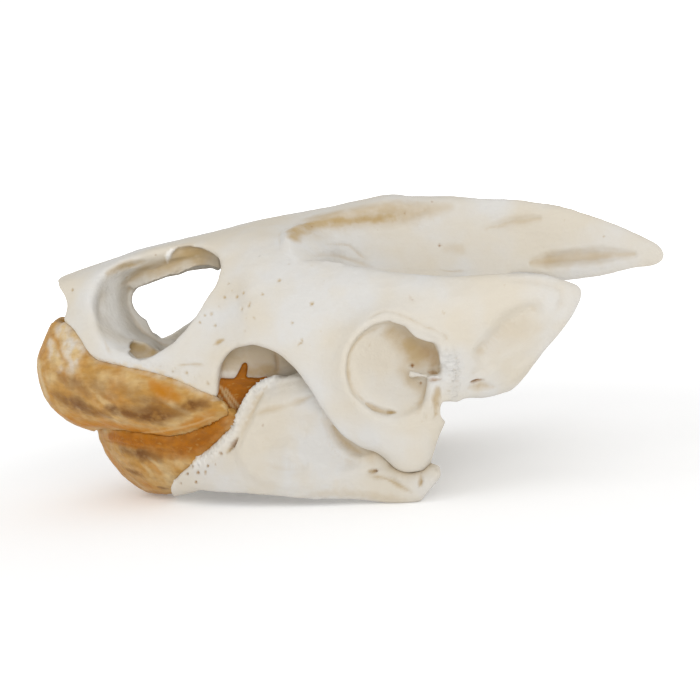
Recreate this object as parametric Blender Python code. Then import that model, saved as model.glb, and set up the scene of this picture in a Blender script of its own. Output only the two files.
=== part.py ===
"""Skull of an adult common snapping turtle, with its lower jaw and the horn of its beak.

Every shape below is drawn in millimetres in one frame: X runs back from the tip of the beak,
Y is the distance from the midline, Z is up. The plates of the skull are skins drawn rib by rib,
the bars and the braincase are lofts, and the openings are cut through the fused bone.
The whole is turned and set down at the end so that it rests on its chin and its two jaw angles.
"""

import math

import bmesh
import bpy
import numpy as np
from mathutils import Matrix, Vector

MM = 0.001

# Driving sizes
ROOF_THICK = 3.2
CHEEK_THICK = 2.6
ARCH_THICK = 3.0
HORN_THICK = 2.0
CREST_HALF = 2.0
CUP_RADIUS = 8.1
CONDYLE_RADIUS = 3.7
NARES_HALF_WIDTH = 5.2
FORAMEN_HALF_WIDTH = 4.6
JAW_GAP = 0.5
SEAM = 0.3

# How the whole rests
REST_PITCH = 6.1
FOOT_FLAT = 0.35

# Where the braincase, the face, the crest and the cheeks part
FACE_END = 46.0
CREST_START = 89.0
CHEEK_START = 16.5

# Fineness of the fused bone and of the finished nodes
CLAY = 0.9
FILLET = 1.1
CRANIUM_TRIANGLES = 8200
JAW_TRIANGLES = 2600
HORN_TRIANGLES = 1100

COLOURS = {
    "bone": ((0.80, 0.76, 0.68, 1.0), 0.55),
    "horn": ((0.50, 0.27, 0.08, 1.0), 0.35),
}


# Curves and skins

def smooth_path(points, count):
    """Return count points on the smooth curve that passes through the given ones in turn."""
    keys = np.array(points, dtype=float)
    slope = np.gradient(keys, axis=0)
    place = np.linspace(0.0, len(keys) - 1.0, count)
    first = np.minimum(place.astype(int), len(keys) - 2)
    t = (place - first).reshape((-1,) + (1,) * (keys.ndim - 1))
    start, end = keys[first], keys[first + 1]
    leave, arrive = slope[first], slope[first + 1]
    return (
        (2 * t**3 - 3 * t**2 + 1) * start
        + (t**3 - 2 * t**2 + t) * leave
        + (3 * t**2 - 2 * t**3) * end
        + (t**3 - t**2) * arrive
    )


def smooth_ring(points, count):
    """Return count points on the smooth closed curve through the given ones."""
    keys = [*points[-2:], *points, *points[:3]]
    steps = len(keys) - 1
    path = smooth_path(keys, steps * 16 + 1)[32 : (len(points) + 2) * 16]
    picks = np.linspace(0, len(path), count, endpoint=False).astype(int)
    return path[picks]


def ring(centre, across, up, power=2.0, count=28):
    """Return a closed ring, round or squared off by its power, on two half-axes."""
    angle = np.linspace(0.0, 2 * math.pi, count, endpoint=False)
    along_a = np.sign(np.cos(angle)) * np.abs(np.cos(angle)) ** (2 / power)
    along_u = np.sign(np.sin(angle)) * np.abs(np.sin(angle)) ** (2 / power)
    return np.array(centre) + np.outer(along_a, across) + np.outer(along_u, up)


def loft(rings, steps=24):
    """Skin rings of equal count into a closed body with flat ends."""
    layers = smooth_path(np.array(rings), steps) if steps else np.array(rings)
    total, count = layers.shape[:2]
    index = np.arange(total * count).reshape(total, count)
    faces = []
    for row in range(total - 1):
        for k in range(count):
            n = (k + 1) % count
            faces.append((index[row, k], index[row, n], index[row + 1, n], index[row + 1, k]))
    faces.append(tuple(index[0, ::-1]))
    faces.append(tuple(index[-1]))
    return layers.reshape(-1, 3), faces


def skin(ribs, outward, inward, along=48, across=20):
    """Skin ribs into a curved plate that reaches outward and inward from the drawn surface."""
    lines = smooth_path(np.array(ribs, dtype=float), along)
    grid = smooth_path(lines.transpose(1, 0, 2), across).transpose(1, 0, 2)
    normal = np.cross(np.gradient(grid, axis=0), np.gradient(grid, axis=1))
    normal /= np.maximum(np.linalg.norm(normal, axis=2, keepdims=True), 1e-9)
    layers = (grid + normal * outward, grid - normal * inward)
    points = np.concatenate([layer.reshape(-1, 3) for layer in layers])
    index = np.arange(along * across).reshape(along, across)
    under = along * across
    faces = []
    for row in range(along - 1):
        for col in range(across - 1):
            a, b = index[row, col], index[row, col + 1]
            c, d = index[row + 1, col + 1], index[row + 1, col]
            faces.append((a, b, c, d))
            faces.append((under + d, under + c, under + b, under + a))
    border = [*index[0, :], *index[1:, -1], *index[-1, -2::-1], *index[-2:0:-1, 0]]
    for k, a in enumerate(border):
        b = border[(k + 1) % len(border)]
        faces.append((b, a, under + a, under + b))
    return points, faces


def bar(path, radii, flat=1.0, steps=20, count=16):
    """Skin a bar of changing radius along a path; flat squeezes it sideways."""
    places = smooth_path(path, steps)
    sizes = smooth_path(np.array(radii, dtype=float).reshape(-1, 1), steps)[:, 0]
    heading = np.gradient(places, axis=0)
    rings = []
    for place, size, ahead in zip(places, sizes, heading, strict=True):
        ahead = Vector(ahead).normalized()
        side = ahead.cross(Vector((0, 0, 1)))
        if side.length < 0.1:
            side = ahead.cross(Vector((0, 1, 0)))
        side.normalize()
        up = side.cross(ahead)
        rings.append(ring(place, np.array(side) * size * flat, np.array(up) * size, 2.0, count))
    return loft(rings, 0)


def prism(outline, low, high):
    """Extrude an outline drawn in the side view, between two distances from the midline."""
    return loft([[(x, y, z) for x, z in outline] for y in (low, high)], 0)


def mirrored(piece):
    """Return the same piece on the other side of the midline."""
    points, faces = piece
    return points * np.array([1.0, -1.0, 1.0]), [tuple(face[::-1]) for face in faces]


def pair(piece):
    """Return a piece and its mirror image."""
    return [piece, mirrored(piece)]


def whole_ribs(ribs):
    """Continue each half rib, which starts on the midline, over to the other side."""
    flip = np.array([1.0, -1.0, 1.0])
    return [[*(np.array(rib)[:0:-1] * flip), *np.array(rib, dtype=float)] for rib in ribs]


# Blender objects

def material(name):
    """Return the Principled material of a finish."""
    found = bpy.data.materials.get(name)
    if found:
        return found
    colour, roughness = COLOURS[name]
    made = bpy.data.materials.new(name)
    made.use_nodes = True
    shader = made.node_tree.nodes["Principled BSDF"]
    shader.inputs["Base Color"].default_value = colour
    shader.inputs["Roughness"].default_value = roughness
    shader.inputs["Metallic"].default_value = 0.0
    made.diffuse_color = colour
    return made


def body(name, pieces):
    """Return one object that holds all the pieces, still as separate shells."""
    points, faces, start = [], [], 0
    for piece_points, piece_faces in pieces:
        points.append(piece_points * MM)
        faces += [tuple(int(k) + start for k in face) for face in piece_faces]
        start += len(piece_points)
    mesh = bpy.data.meshes.new(name)
    mesh.from_pydata(np.concatenate(points).tolist(), [], faces)
    kit = bmesh.new()
    kit.from_mesh(mesh)
    bmesh.ops.recalc_face_normals(kit, faces=kit.faces)
    kit.to_mesh(mesh)
    kit.free()
    made = bpy.data.objects.new(name, mesh)
    bpy.context.scene.collection.objects.link(made)
    return made


def settle(thing):
    """Replace an object's mesh by what its modifiers make of it."""
    graph = bpy.context.evaluated_depsgraph_get()
    mesh = bpy.data.meshes.new_from_object(thing.evaluated_get(graph))
    thing.modifiers.clear()
    old = thing.data
    thing.data = mesh
    bpy.data.meshes.remove(old)


def remesh(thing, size):
    """Fuse an object's shells into one even skin."""
    step = thing.modifiers.new("fuse", "REMESH")
    step.mode = "VOXEL"
    step.voxel_size = size * MM
    settle(thing)


def push(thing, distance):
    """Move the surface out along its normals, or in where the distance is negative."""
    step = thing.modifiers.new("push", "DISPLACE")
    step.mid_level = 0.0
    step.strength = distance * MM
    settle(thing)


def soften(thing, rounds):
    """Smooth the surface."""
    step = thing.modifiers.new("soften", "SMOOTH")
    step.factor = 0.5
    step.iterations = rounds
    settle(thing)


def thin_out(thing, triangles):
    """Bring a mesh down to about the given number of triangles."""
    thing.data.calc_loop_triangles()
    step = thing.modifiers.new("thin", "DECIMATE")
    step.use_collapse_triangulate = True
    step.ratio = min(1.0, triangles / len(thing.data.loop_triangles))
    settle(thing)


def combine(thing, other, operation):
    """Cut, join or intersect an object with another, and drop the other."""
    step = thing.modifiers.new(operation.lower(), "BOOLEAN")
    step.operation = operation
    step.object = other
    step.solver = "EXACT"
    other.hide_render = True
    other.display_type = "WIRE"
    settle(thing)
    bpy.data.objects.remove(other)


def clear(thing, other, gap):
    """Cut one object back so that it stays a gap away from another."""
    room = bpy.data.objects.new("room", other.data.copy())
    bpy.context.scene.collection.objects.link(room)
    push(room, gap)
    combine(thing, room, "DIFFERENCE")
    keep_largest(thing)


def keep_largest(thing):
    """Keep only the largest closed surface of an object."""
    kit = bmesh.new()
    kit.from_mesh(thing.data)
    bmesh.ops.remove_doubles(kit, verts=kit.verts, dist=1e-6)
    kit.faces.ensure_lookup_table()
    seen, shells = set(), []
    for face in kit.faces:
        if face.index in seen:
            continue
        shell, queue = [], [face]
        seen.add(face.index)
        while queue:
            here = queue.pop()
            shell.append(here)
            for edge in here.edges:
                for near in edge.link_faces:
                    if near.index not in seen:
                        seen.add(near.index)
                        queue.append(near)
        shells.append(shell)
    shells.sort(key=lambda shell: -sum(face.calc_area() for face in shell))
    spare = [face for shell in shells[1:] for face in shell]
    bmesh.ops.delete(kit, geom=spare, context="FACES")
    loose = [vert for vert in kit.verts if not vert.link_faces]
    bmesh.ops.delete(kit, geom=loose, context="VERTS")
    kit.to_mesh(thing.data)
    kit.free()


def fused(name, pieces, fillet=FILLET):
    """Fuse pieces, fill the creases between them with a fillet, and smooth the result."""
    made = body(name, pieces)
    remesh(made, CLAY)
    push(made, fillet)
    remesh(made, CLAY)
    push(made, -fillet)
    remesh(made, CLAY)
    soften(made, 4)
    return made


# Cranium

def face_shell():
    """Roof and cheeks in front of the temples: midline, shoulder, side, and hem."""
    ribs = [
        [
            (5.9, 0, 40.7), (7.3, 4.8, 40.0), (9.8, 6.8, 36.8), (8.3, 7.0, 33.0), (6.6, 6.6, 28.4),
            (7.8, 6.2, 20.6),
        ],
        [
            (13.6, 0, 43.3), (14.6, 8.0, 42.4), (14.6, 10.8, 38.4), (14.4, 12.2, 32.0),
            (14.0, 12.2, 26.5), (13.5, 11.4, 20.6),
        ],
        [
            (20.9, 0, 45.5), (21.0, 9.2, 45.2), (20.5, 13.8, 38.5), (20.5, 15.4, 31.5),
            (20.5, 15.6, 26.5), (20.5, 14.4, 20.6),
        ],
        [
            (30.0, 0, 47.8), (30.0, 8.8, 47.5), (30.0, 16.0, 40.5), (30.0, 18.4, 33.0),
            (29.5, 18.6, 27.0), (29.5, 17.4, 20.6),
        ],
        [
            (39.0, 0, 50.2), (39.0, 11.5, 49.2), (39.0, 17.0, 44.0), (38.5, 20.6, 34.5),
            (37.5, 21.4, 28.0), (37.5, 21.0, 20.6),
        ],
        [
            (45.0, 0, 51.9), (45.0, 12.8, 50.4), (45.0, 20.2, 45.3), (45.0, 25.0, 38.0),
            (45.0, 26.8, 31.5), (44.0, 25.5, 21.0),
        ],
        [
            (52.5, 0, 53.4), (52.0, 13.2, 50.5), (53.0, 21.6, 46.2), (52.0, 27.7, 38.3),
            (52.0, 29.6, 31.0), (51.0, 29.0, 22.0),
        ],
    ]
    return skin(whole_ribs(ribs), 0.0, CHEEK_THICK, 56, 72)


def parietal_roof():
    """Roof between the temples, narrowing back to the crest."""
    ribs = [
        [(46.0, 0, 52.0), (46.0, 8.5, 51.2), (46.0, 14.0, 49.9)],
        [(52.0, 0, 53.3), (52.0, 8.0, 52.2), (52.5, 13.2, 50.4)],
        [(58.0, 0, 54.4), (58.0, 6.6, 53.5), (58.0, 10.6, 52.0)],
        [(64.0, 0, 55.7), (64.0, 5.2, 55.0), (64.0, 8.2, 53.4)],
        [(69.4, 0, 56.9), (69.4, 4.0, 56.2), (69.4, 6.4, 54.6)],
        [(74.5, 0, 56.2), (74.5, 3.0, 55.7), (74.5, 5.0, 54.2)],
        [(83.0, 0, 56.7), (83.0, 2.1, 56.2), (83.0, 3.6, 54.9)],
    ]
    return skin(whole_ribs(ribs), 0.0, ROOF_THICK, 40, 28)


def crest():
    """Supraoccipital crest: a tall thin blade that outruns the rest of the skull, and its lower lip."""
    stations = [
        (60.0, 46.0, 54.0, 1.4),
        (70.0, 45.0, 56.4, 1.2),
        (80.0, 44.0, 56.7, 1.0),
        (92.0, 43.0, 56.4, 0.9),
        (101.0, 41.0, 55.3, 0.85),
        (109.0, 41.6, 52.8, 0.8),
        (116.0, 42.4, 49.9, 0.75),
        (121.0, 43.0, 47.5, 0.6),
    ]
    rings = []
    for x, low, high, wide in stations:
        centre = (x, 0, (low + high) / 2)
        rings.append(ring(centre, (0, CREST_HALF * wide, 0), (0, 0, (high - low) / 2), 2.8))
    lower_edge = [(86, 0, 44.2), (94, 0, 43.0), (102, 0, 42.6), (110, 0, 43.4), (116, 0, 44.4)]
    lip = bar(lower_edge, [3.2, 2.9, 2.4, 2.1, 1.5])
    return [loft(rings, 48), lip]


def temporal_arch():
    """Bar over the cheek, ear and rear wing: upper rim, swelling, and lower edge."""
    ribs = [
        [(43.5, 18.6, 46.9), (43.5, 22.6, 42.2), (43.5, 25.3, 36.0), (43.5, 26.0, 28.5)],
        [(50.0, 20.6, 46.6), (50.0, 25.0, 42.0), (50.2, 28.3, 36.0), (50.4, 29.2, 27.5)],
        [(56.5, 22.0, 47.1), (56.5, 27.0, 42.0), (56.3, 30.6, 34.0), (56.0, 31.2, 21.0)],
        [(63.5, 24.8, 46.1), (63.5, 29.6, 41.4), (62.2, 32.4, 30.0), (61.0, 31.8, 14.5)],
        [(71.5, 27.8, 45.3), (71.5, 32.4, 40.8), (70.0, 34.2, 30.0), (69.4, 32.4, 14.0)],
        [(79.0, 30.2, 44.8), (79.0, 33.5, 39.8), (78.5, 34.0, 31.0), (77.2, 32.8, 19.0)],
        [(85.0, 31.0, 45.2), (84.6, 33.4, 39.8), (82.6, 32.2, 31.5), (81.4, 30.4, 22.0)],
        [(90.0, 31.2, 45.4), (89.6, 32.8, 39.6), (87.4, 30.6, 31.2), (84.6, 28.4, 21.6)],
        [(96.5, 30.6, 44.6), (95.8, 31.2, 38.6), (92.2, 28.4, 30.6), (87.8, 26.2, 21.8)],
        [(103.4, 28.4, 41.8), (100.9, 28.2, 36.2), (96.4, 26.2, 30.0), (91.2, 24.4, 22.6)],
    ]
    return skin(ribs, 0.0, ARCH_THICK, 64, 32)


def ear_cup():
    """Quadrate round the ear: a short drum with its mouth outward."""
    stations = [
        (34.8, 69.3, 29.0, 9.4),
        (31.0, 69.5, 29.0, 9.8),
        (25.0, 70.5, 30.0, 9.0),
        (18.0, 71.0, 31.5, 8.0),
    ]
    return loft([ring((x, y, z), (r, 0, 0), (0, 0, r)) for y, x, z, r in stations], 16)


def quadrate_shaft():
    """Stem of the quadrate, down to the knuckle that carries the jaw."""
    stations = [
        (26.0, 70.0, 31.0, 9.4, 3.2),
        (20.0, 70.2, 31.2, 9.0, 3.0),
        (15.5, 71.2, 31.2, 6.0, 3.4),
        (12.6, 72.2, 30.6, 4.0, 4.6),
        (10.4, 72.6, 30.4, 3.3, 4.6),
    ]
    return loft([ring((x, y, z), (a, 0, 0), (0, b, 0), 2.4) for z, x, y, a, b in stations], 16)


def tent(x, low, high, neck, half):
    """Return the section of the braincase: narrow under the crest, with flanks that slope out below it."""
    side = [
        (neck, high), (neck * 0.75 + half * 0.25, high * 0.8 + low * 0.2),
        (neck * 0.3 + half * 0.7, high * 0.6 + low * 0.4), (half, high * 0.4 + low * 0.6),
        (half, high * 0.15 + low * 0.85), (half * 0.55, low),
    ]
    corners = [*side, *[(-y, z) for y, z in side[::-1]]]
    return smooth_ring([np.array((x, y, z)) for y, z in corners], 36)


def braincase():
    """Braincase, from behind the eyes to the occiput."""
    stations = [
        (45.0, 35.0, 50.4, 6.4, 7.4),
        (49.0, 33.0, 50.8, 9.0, 10.4),
        (53.0, 29.5, 51.2, 10.4, 12.6),
        (58.0, 27.5, 52.2, 9.2, 13.4),
        (64.0, 26.2, 53.5, 7.0, 13.2),
        (70.0, 25.8, 54.7, 5.2, 13.0),
        (78.0, 25.8, 54.4, 3.6, 12.6),
        (85.0, 29.0, 52.8, 2.6, 9.0),
        (91.0, 41.0, 49.5, 1.9, 4.6),
        (97.0, 41.5, 46.5, 1.4, 2.6),
    ]
    return loft([tent(*station) for station in stations], 36)


def otic_capsule():
    """Inner ear block, from the braincase out to the ear cup."""
    stations = [
        (8.0, 72.0, 35.5, 13.0, 7.6),
        (14.0, 72.5, 35.0, 12.0, 7.2),
        (20.0, 73.0, 34.5, 11.5, 7.0),
        (25.0, 73.5, 33.5, 11.0, 7.0),
        (30.0, 73.5, 32.5, 10.0, 7.4),
    ]
    return loft([ring((x, y, z), (a, 0, 0), (0, 0, b), 2.4) for y, x, z, a, b in stations], 20)


def occiput():
    """Back of the head: the wings out to the squamosals and the knuckle of the neck."""
    wing = bar([(78, 5, 37), (82, 13, 36.5), (86, 21, 36), (90, 28, 36.5)], [6.4, 6.0, 5.6, 5.0])
    knuckle = bar([(84, 0, 31.8), (91, 0, 31.8), (97.0, 0, 32.2)], [4.8, 3.9, 3.3])
    boss = bar([(74, 4, 28), (80, 7, 26.5), (85, 8.5, 27.0)], [3.5, 3.2, 2.4])
    return [*pair(wing), knuckle, *pair(boss)]


def palate():
    """Roof of the mouth, waisted between the jaw muscles, and its wings out to the quadrates."""
    ribs = [
        [(10.0, 0, 23.0), (10.0, 3.5, 23.0), (10.0, 7.0, 22.0)],
        [(18.0, 0, 25.0), (18.0, 7.0, 24.5), (18.0, 13.0, 22.5)],
        [(28.0, 0, 28.2), (28.0, 9.0, 27.8), (28.0, 17.6, 25.0)],
        [(36.0, 0, 28.6), (36.0, 10.0, 28.2), (37.0, 20.2, 26.0)],
        [(43.0, 0, 28.0), (43.0, 9.0, 27.8), (43.5, 17.5, 27.0)],
        [(50.0, 0, 27.6), (50.0, 6.0, 27.4), (50.0, 11.8, 27.0)],
        [(58.0, 0, 27.0), (58.0, 5.0, 26.8), (58.0, 9.4, 26.4)],
        [(66.0, 0, 26.8), (66.0, 7.0, 26.8), (66.0, 13.0, 26.8)],
        [(74.0, 0, 26.8), (74.0, 8.0, 26.8), (74.0, 16.0, 27.4)],
    ]
    plate = skin(whole_ribs(ribs), 0.0, 2.8, 48, 32)
    wing = bar([(62, 9, 26), (66, 16, 25), (70, 23, 22), (71.5, 28, 17.5)], [3.0, 3.2, 3.6, 3.4], 0.8)
    flange = bar([(46.5, 14.5, 28), (47.0, 15.5, 25.5), (47.0, 15.8, 23.0)], [2.6, 2.2, 1.4])
    return [plate, *pair(wing), *pair(flange)]


def snout_core():
    """Solid snout behind the nostrils, its back hollowed later by the eye sockets."""
    stations = [
        (8.6, 25.5, 32.2, 5.6),
        (11.0, 22.5, 39.0, 6.8),
        (15.0, 21.5, 42.0, 10.2),
        (20.0, 21.5, 44.5, 12.2),
        (25.0, 23.0, 46.0, 11.0),
    ]
    rings = []
    for x, low, high, half in stations:
        rings.append(ring((x, 0, (low + high) / 2), (0, half, 0), (0, 0, (high - low) / 2), 3.0))
    core = loft(rings, 20)
    keel = loft([
        ring((22.0, 0, 44.0), (0, 5.2, 0), (0, 0, 2.6), 2.6),
        ring((30.0, 0, 44.9), (0, 4.6, 0), (0, 0, 2.9), 2.6),
        ring((38.0, 0, 46.6), (0, 5.4, 0), (0, 0, 3.6), 2.6),
        ring((47.0, 0, 47.5), (0, 6.0, 0), (0, 0, 5.0), 2.6),
    ])
    gum = bar([(11.5, 6.5, 22.0), (15, 9.8, 22.0), (21, 13.0, 22.2), (29, 16.2, 22.6), (37, 19.4, 23.4)],
              [2.6, 2.8, 2.8, 2.8, 2.6])
    return [core, keel, *pair(gum)]


def eye_socket():
    """Cutter for one eye socket: its rim, set out past the bone, and two rings further in."""
    rim = [
        (15.2, 11.2, 38.0), (16.9, 13.6, 32.4), (20.6, 15.9, 28.7), (26.2, 18.2, 28.8), (31.2, 19.2, 32.4),
        (35.4, 18.2, 38.2), (38.8, 16.4, 44.2), (36.4, 12.0, 46.9), (30.0, 9.0, 47.3), (23.0, 9.6, 45.8),
        (17.6, 10.4, 43.6),
    ]
    inner = [
        (16.6, 8.0, 37.6), (18.0, 9.6, 33.0), (21.6, 11.0, 30.6), (27.0, 12.0, 30.2), (33.6, 14.0, 31.4),
        (39.0, 14.0, 37.0), (40.4, 12.4, 42.6), (37.0, 9.0, 44.6), (30.0, 6.6, 44.4), (24.0, 6.6, 43.6),
        (19.0, 7.4, 42.0),
    ]
    middle = [
        (21.4, 0, 37.4), (22.4, 0, 33.4), (24.4, 0, 30.4), (29.0, 0, 29.6), (36.0, 0, 29.4),
        (42.0, 0, 34.6), (43.0, 0, 39.6), (38.0, 0, 41.8), (31.0, 0, 41.4), (26.0, 0, 41.2),
        (22.4, 0, 40.2),
    ]
    edge = smooth_ring([np.array(p) for p in rim], 44)
    deep = smooth_ring([np.array(p) for p in inner], 44)
    centre = smooth_ring([np.array(p) for p in middle], 44)
    beyond = edge + (edge - edge.mean(axis=0)) * 0.15 + np.array([-2.0, 7.0, 5.0])
    across = centre + np.array([0.0, -1.0, 0.0])
    return loft([beyond, edge, deep, across], 0)


def cheek_notch():
    """Cutter for the arched notch in the lower edge of the cheek."""
    arch = [
        (38.9, 10.0), (38.9, 18.0), (38.8, 24.0), (39.2, 27.4), (41.4, 30.4), (45.2, 31.6), (48.8, 30.8),
        (51.8, 28.6), (54.6, 25.2), (57.8, 19.8), (60.6, 16.6), (64.0, 14.2), (67.4, 11.8),
        (67.4, 6.0), (38.9, 6.0),
    ]
    return prism(arch, 17.5, 45.0)


def ear_hollow():
    """Cutter for the bowl of the ear."""
    stations = [
        (38.5, 69.4, 28.7, 1.06),
        (33.8, 69.4, 28.7, 1.0),
        (30.0, 69.7, 28.9, 0.93),
        (27.0, 70.0, 29.6, 0.74),
        (25.4, 70.2, 29.8, 0.35),
    ]
    rings = []
    for y, x, z, share in stations:
        size = CUP_RADIUS * share
        rings.append(ring((x, y, z), (size, 0, 0), (0, 0, size)))
    return loft(rings, 16)


def nostrils():
    """Cutter for the nose opening."""
    stations = [
        (3.0, 35.6, 1.15, 5.4),
        (8.0, 35.8, 1.0, 4.6),
        (12.0, 36.2, 0.85, 4.2),
        (17.0, 36.4, 0.5, 2.6),
    ]
    rings = []
    for x, z, share, tall in stations:
        rings.append(ring((x, 0, z), (0, NARES_HALF_WIDTH * share, 0), (0, 0, tall), 2.4))
    return loft(rings, 12)


def neck_opening():
    """Cutter for the opening of the spinal cord."""
    stations = [
        (101.0, 35.6, 1.1),
        (92.0, 37.8, 1.1),
        (86.0, 38.4, 1.0),
        (80.0, 39.5, 0.8),
        (76.0, 40.0, 0.4),
    ]
    rings = []
    for x, z, share in stations:
        size = FORAMEN_HALF_WIDTH * share
        rings.append(ring((x, 0, z), (0, size, 0), (0, 0, size * 1.05)))
    return loft(rings, 12)


def inner_nostril():
    """Cutter for one inner nostril, in the roof of the mouth."""
    return bar([(27, 4.2, 20), (29, 4.4, 26), (30.5, 4.5, 33)], [3.0, 2.7, 2.7], 0.8)


def cranium():
    """Fuse the bone of the cranium and cut its openings."""
    pieces = [face_shell(), parietal_roof(), *crest(), braincase(), *pair(temporal_arch())]
    pieces += [*pair(ear_cup()), *pair(quadrate_shaft()), *pair(otic_capsule()), *occiput()]
    pieces += [*palate(), *snout_core()]
    made = fused("cranium", pieces)
    cutters = [*pair(eye_socket()), *pair(cheek_notch()), *pair(ear_hollow()), nostrils(), neck_opening()]
    cutters += pair(inner_nostril())
    for number, cutter in enumerate(cutters):
        combine(made, body(f"opening_{number}", [cutter]), "DIFFERENCE")
    remesh(made, CLAY)
    soften(made, 3)
    keep_largest(made)
    return made


# Jaw

def jaw_side():
    """One side of the lower jaw, from the chin back to the joint."""
    stations = [
        (16.2, 1.5, 8.6, 12.6, 2.2, 0.0),
        (20.4, 5.0, 4.6, 12.8, 3.0, 0.0),
        (26.1, 9.3, 1.8, 13.2, 3.1, 0.0),
        (32.4, 13.7, 3.0, 14.4, 2.9, 0.0),
        (39.0, 18.6, 4.2, 17.4, 2.5, 0.2),
        (46.0, 22.2, 4.7, 23.6, 2.4, 0.6),
        (52.5, 24.6, 4.8, 27.0, 2.4, 1.4),
        (58.5, 26.4, 4.8, 27.2, 2.4, 2.0),
        (64.0, 28.0, 4.8, 20.0, 2.6, 2.0),
        (69.0, 30.0, 4.7, 11.6, 3.8, 0.6),
        (74.0, 31.0, 5.2, 11.6, 4.2, 0.0),
        (77.4, 31.4, 7.6, 13.4, 3.4, 0.0),
    ]
    rings = []
    for x, y, low, high, half, lean in stations:
        up = (0, -lean, (high - low) / 2)
        rings.append(ring((x, y, (low + high) / 2), (half * 0.25, half, 0), up, 3.2))
    return loft(rings, 60)


def chin():
    """Floor of the chin, where both sides of the jaw are one."""
    ribs = [
        [(17.0, 0, 11.8), (17.6, 2.4, 11.6), (18.4, 4.2, 11.2)],
        [(20.5, 0, 7.2), (21.0, 4.0, 6.9), (22.0, 7.0, 6.4)],
        [(25.8, 0, 3.4), (26.0, 4.5, 3.4), (26.8, 9.6, 3.8)],
        [(33.5, 0, 5.2), (34.0, 7.0, 5.4), (34.8, 14.0, 6.0)],
    ]
    return skin(whole_ribs(ribs), 1.6, 2.6, 24, 24)


def jaw_socket():
    """Cutter for the cup that receives the knuckle of the quadrate."""
    rings = []
    for y in (22.0, 25.5, 30.4, 35.5, 39.0):
        rings.append(ring((72.6, y, 13.6), (CONDYLE_RADIUS, 0, 0), (0, 0, CONDYLE_RADIUS)))
    return loft(rings, 8)


def jaw():
    """Fuse the lower jaw and cut its joint cups and the hollow on its outer side."""
    made = fused("mandible", [*pair(jaw_side()), chin()])
    for number, cutter in enumerate(pair(jaw_socket())):
        combine(made, body(f"cup_{number}", [cutter]), "DIFFERENCE")
    remesh(made, CLAY)
    soften(made, 2)
    keep_largest(made)
    return made


# Horn

def upper_horn_ribs():
    """Upper beak, half rib by half rib from the midline: bone edge, swelling and cutting edge."""
    return [
        [(6.6, 0, 33.1), (4.5, 0, 28.8), (3.4, 0, 25.0), (4.7, 0, 18.8), (8.9, 0, 14.4), (14.2, 0, 12.1)],
        [
            (7.4, 4.6, 33.7), (5.7, 4.6, 29.0), (4.7, 4.8, 24.4), (6.3, 4.6, 18.6), (10.1, 4.0, 14.5),
            (14.8, 3.6, 12.6),
        ],
        [
            (11.6, 8.8, 32.4), (9.8, 9.0, 28.0), (9.6, 9.2, 23.4), (11.4, 8.6, 18.2), (14.2, 7.2, 15.0),
            (17.2, 6.2, 13.4),
        ],
        [
            (15.4, 12.0, 27.6), (14.4, 12.4, 24.8), (14.4, 12.2, 21.8), (16.0, 11.4, 17.8),
            (18.4, 9.8, 15.0), (20.6, 8.6, 13.4),
        ],
        [
            (20.6, 15.4, 26.6), (19.4, 15.6, 24.2), (19.4, 15.2, 21.2), (20.4, 14.0, 17.6),
            (22.2, 12.2, 15.0), (23.6, 10.8, 13.6),
        ],
        [
            (29.0, 18.8, 25.0), (28.6, 19.0, 22.8), (28.6, 18.6, 20.4), (29.0, 17.4, 17.4),
            (29.6, 15.8, 15.0), (30.0, 14.8, 13.4),
        ],
        [
            (35.6, 21.2, 22.6), (35.6, 21.3, 21.2), (35.8, 20.9, 19.6), (36.0, 19.8, 17.8),
            (36.4, 18.8, 16.4), (36.8, 18.2, 15.2),
        ],
        [
            (39.8, 22.6, 20.6), (40.0, 22.4, 20.0), (40.2, 22.0, 19.4), (40.6, 21.4, 18.9),
            (41.0, 20.9, 18.5), (41.4, 20.5, 18.2),
        ],
    ]


def lower_horn_ribs():
    """Lower beak, half rib by half rib from the midline: cutting edge, swelling and bone edge."""
    return [
        [
            (14.8, 0, 15.4), (14.6, 0, 11.6), (16.1, 0, 7.7), (19.3, 0, 3.6), (23.5, 0, 0.8),
            (27.4, 0, 0.5),
        ],
        [
            (16.2, 3.4, 15.4), (16.2, 3.6, 11.6), (17.8, 3.6, 7.8), (20.8, 3.6, 3.9), (24.2, 3.4, 1.2),
            (27.9, 3.2, 0.9),
        ],
        [
            (19.8, 8.0, 15.2), (19.9, 8.4, 12.0), (20.9, 8.2, 8.8), (23.2, 8.2, 5.4), (26.2, 8.6, 3.0),
            (29.3, 9.0, 2.0),
        ],
        [
            (26.4, 12.9, 15.6), (26.6, 13.2, 13.6), (27.2, 13.3, 11.6), (28.2, 13.5, 9.6),
            (29.4, 13.8, 7.9), (30.4, 14.2, 6.4),
        ],
        [
            (33.6, 17.4, 17.0), (33.7, 17.7, 15.8), (33.9, 17.8, 14.4), (34.2, 17.9, 13.0),
            (34.5, 18.0, 11.8), (34.8, 18.0, 10.7),
        ],
        [
            (40.8, 21.6, 20.4), (40.9, 21.7, 19.8), (41.0, 21.8, 19.2), (41.2, 21.8, 18.6),
            (41.4, 21.9, 18.0), (41.6, 21.9, 17.4),
        ],
    ]


def horn(name, ribs, bone):
    """Make a beak sheath and sink it in the bone, a seam's width clear of it all round."""
    whole = [[*(np.array(rib) * np.array([1.0, -1.0, 1.0]))] for rib in ribs[:0:-1]] + ribs
    room = body(f"{name}_room", [skin(whole, 6.0, HORN_THICK + SEAM, 72, 24)])
    remesh(room, 0.7)
    push(room, SEAM)
    combine(bone, room, "DIFFERENCE")
    made = body(name, [skin(whole, 0.0, HORN_THICK, 72, 24)])
    remesh(made, 0.6)
    soften(made, 2)
    keep_largest(made)
    thin_out(made, HORN_TRIANGLES)
    return made


# Nodes

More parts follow.
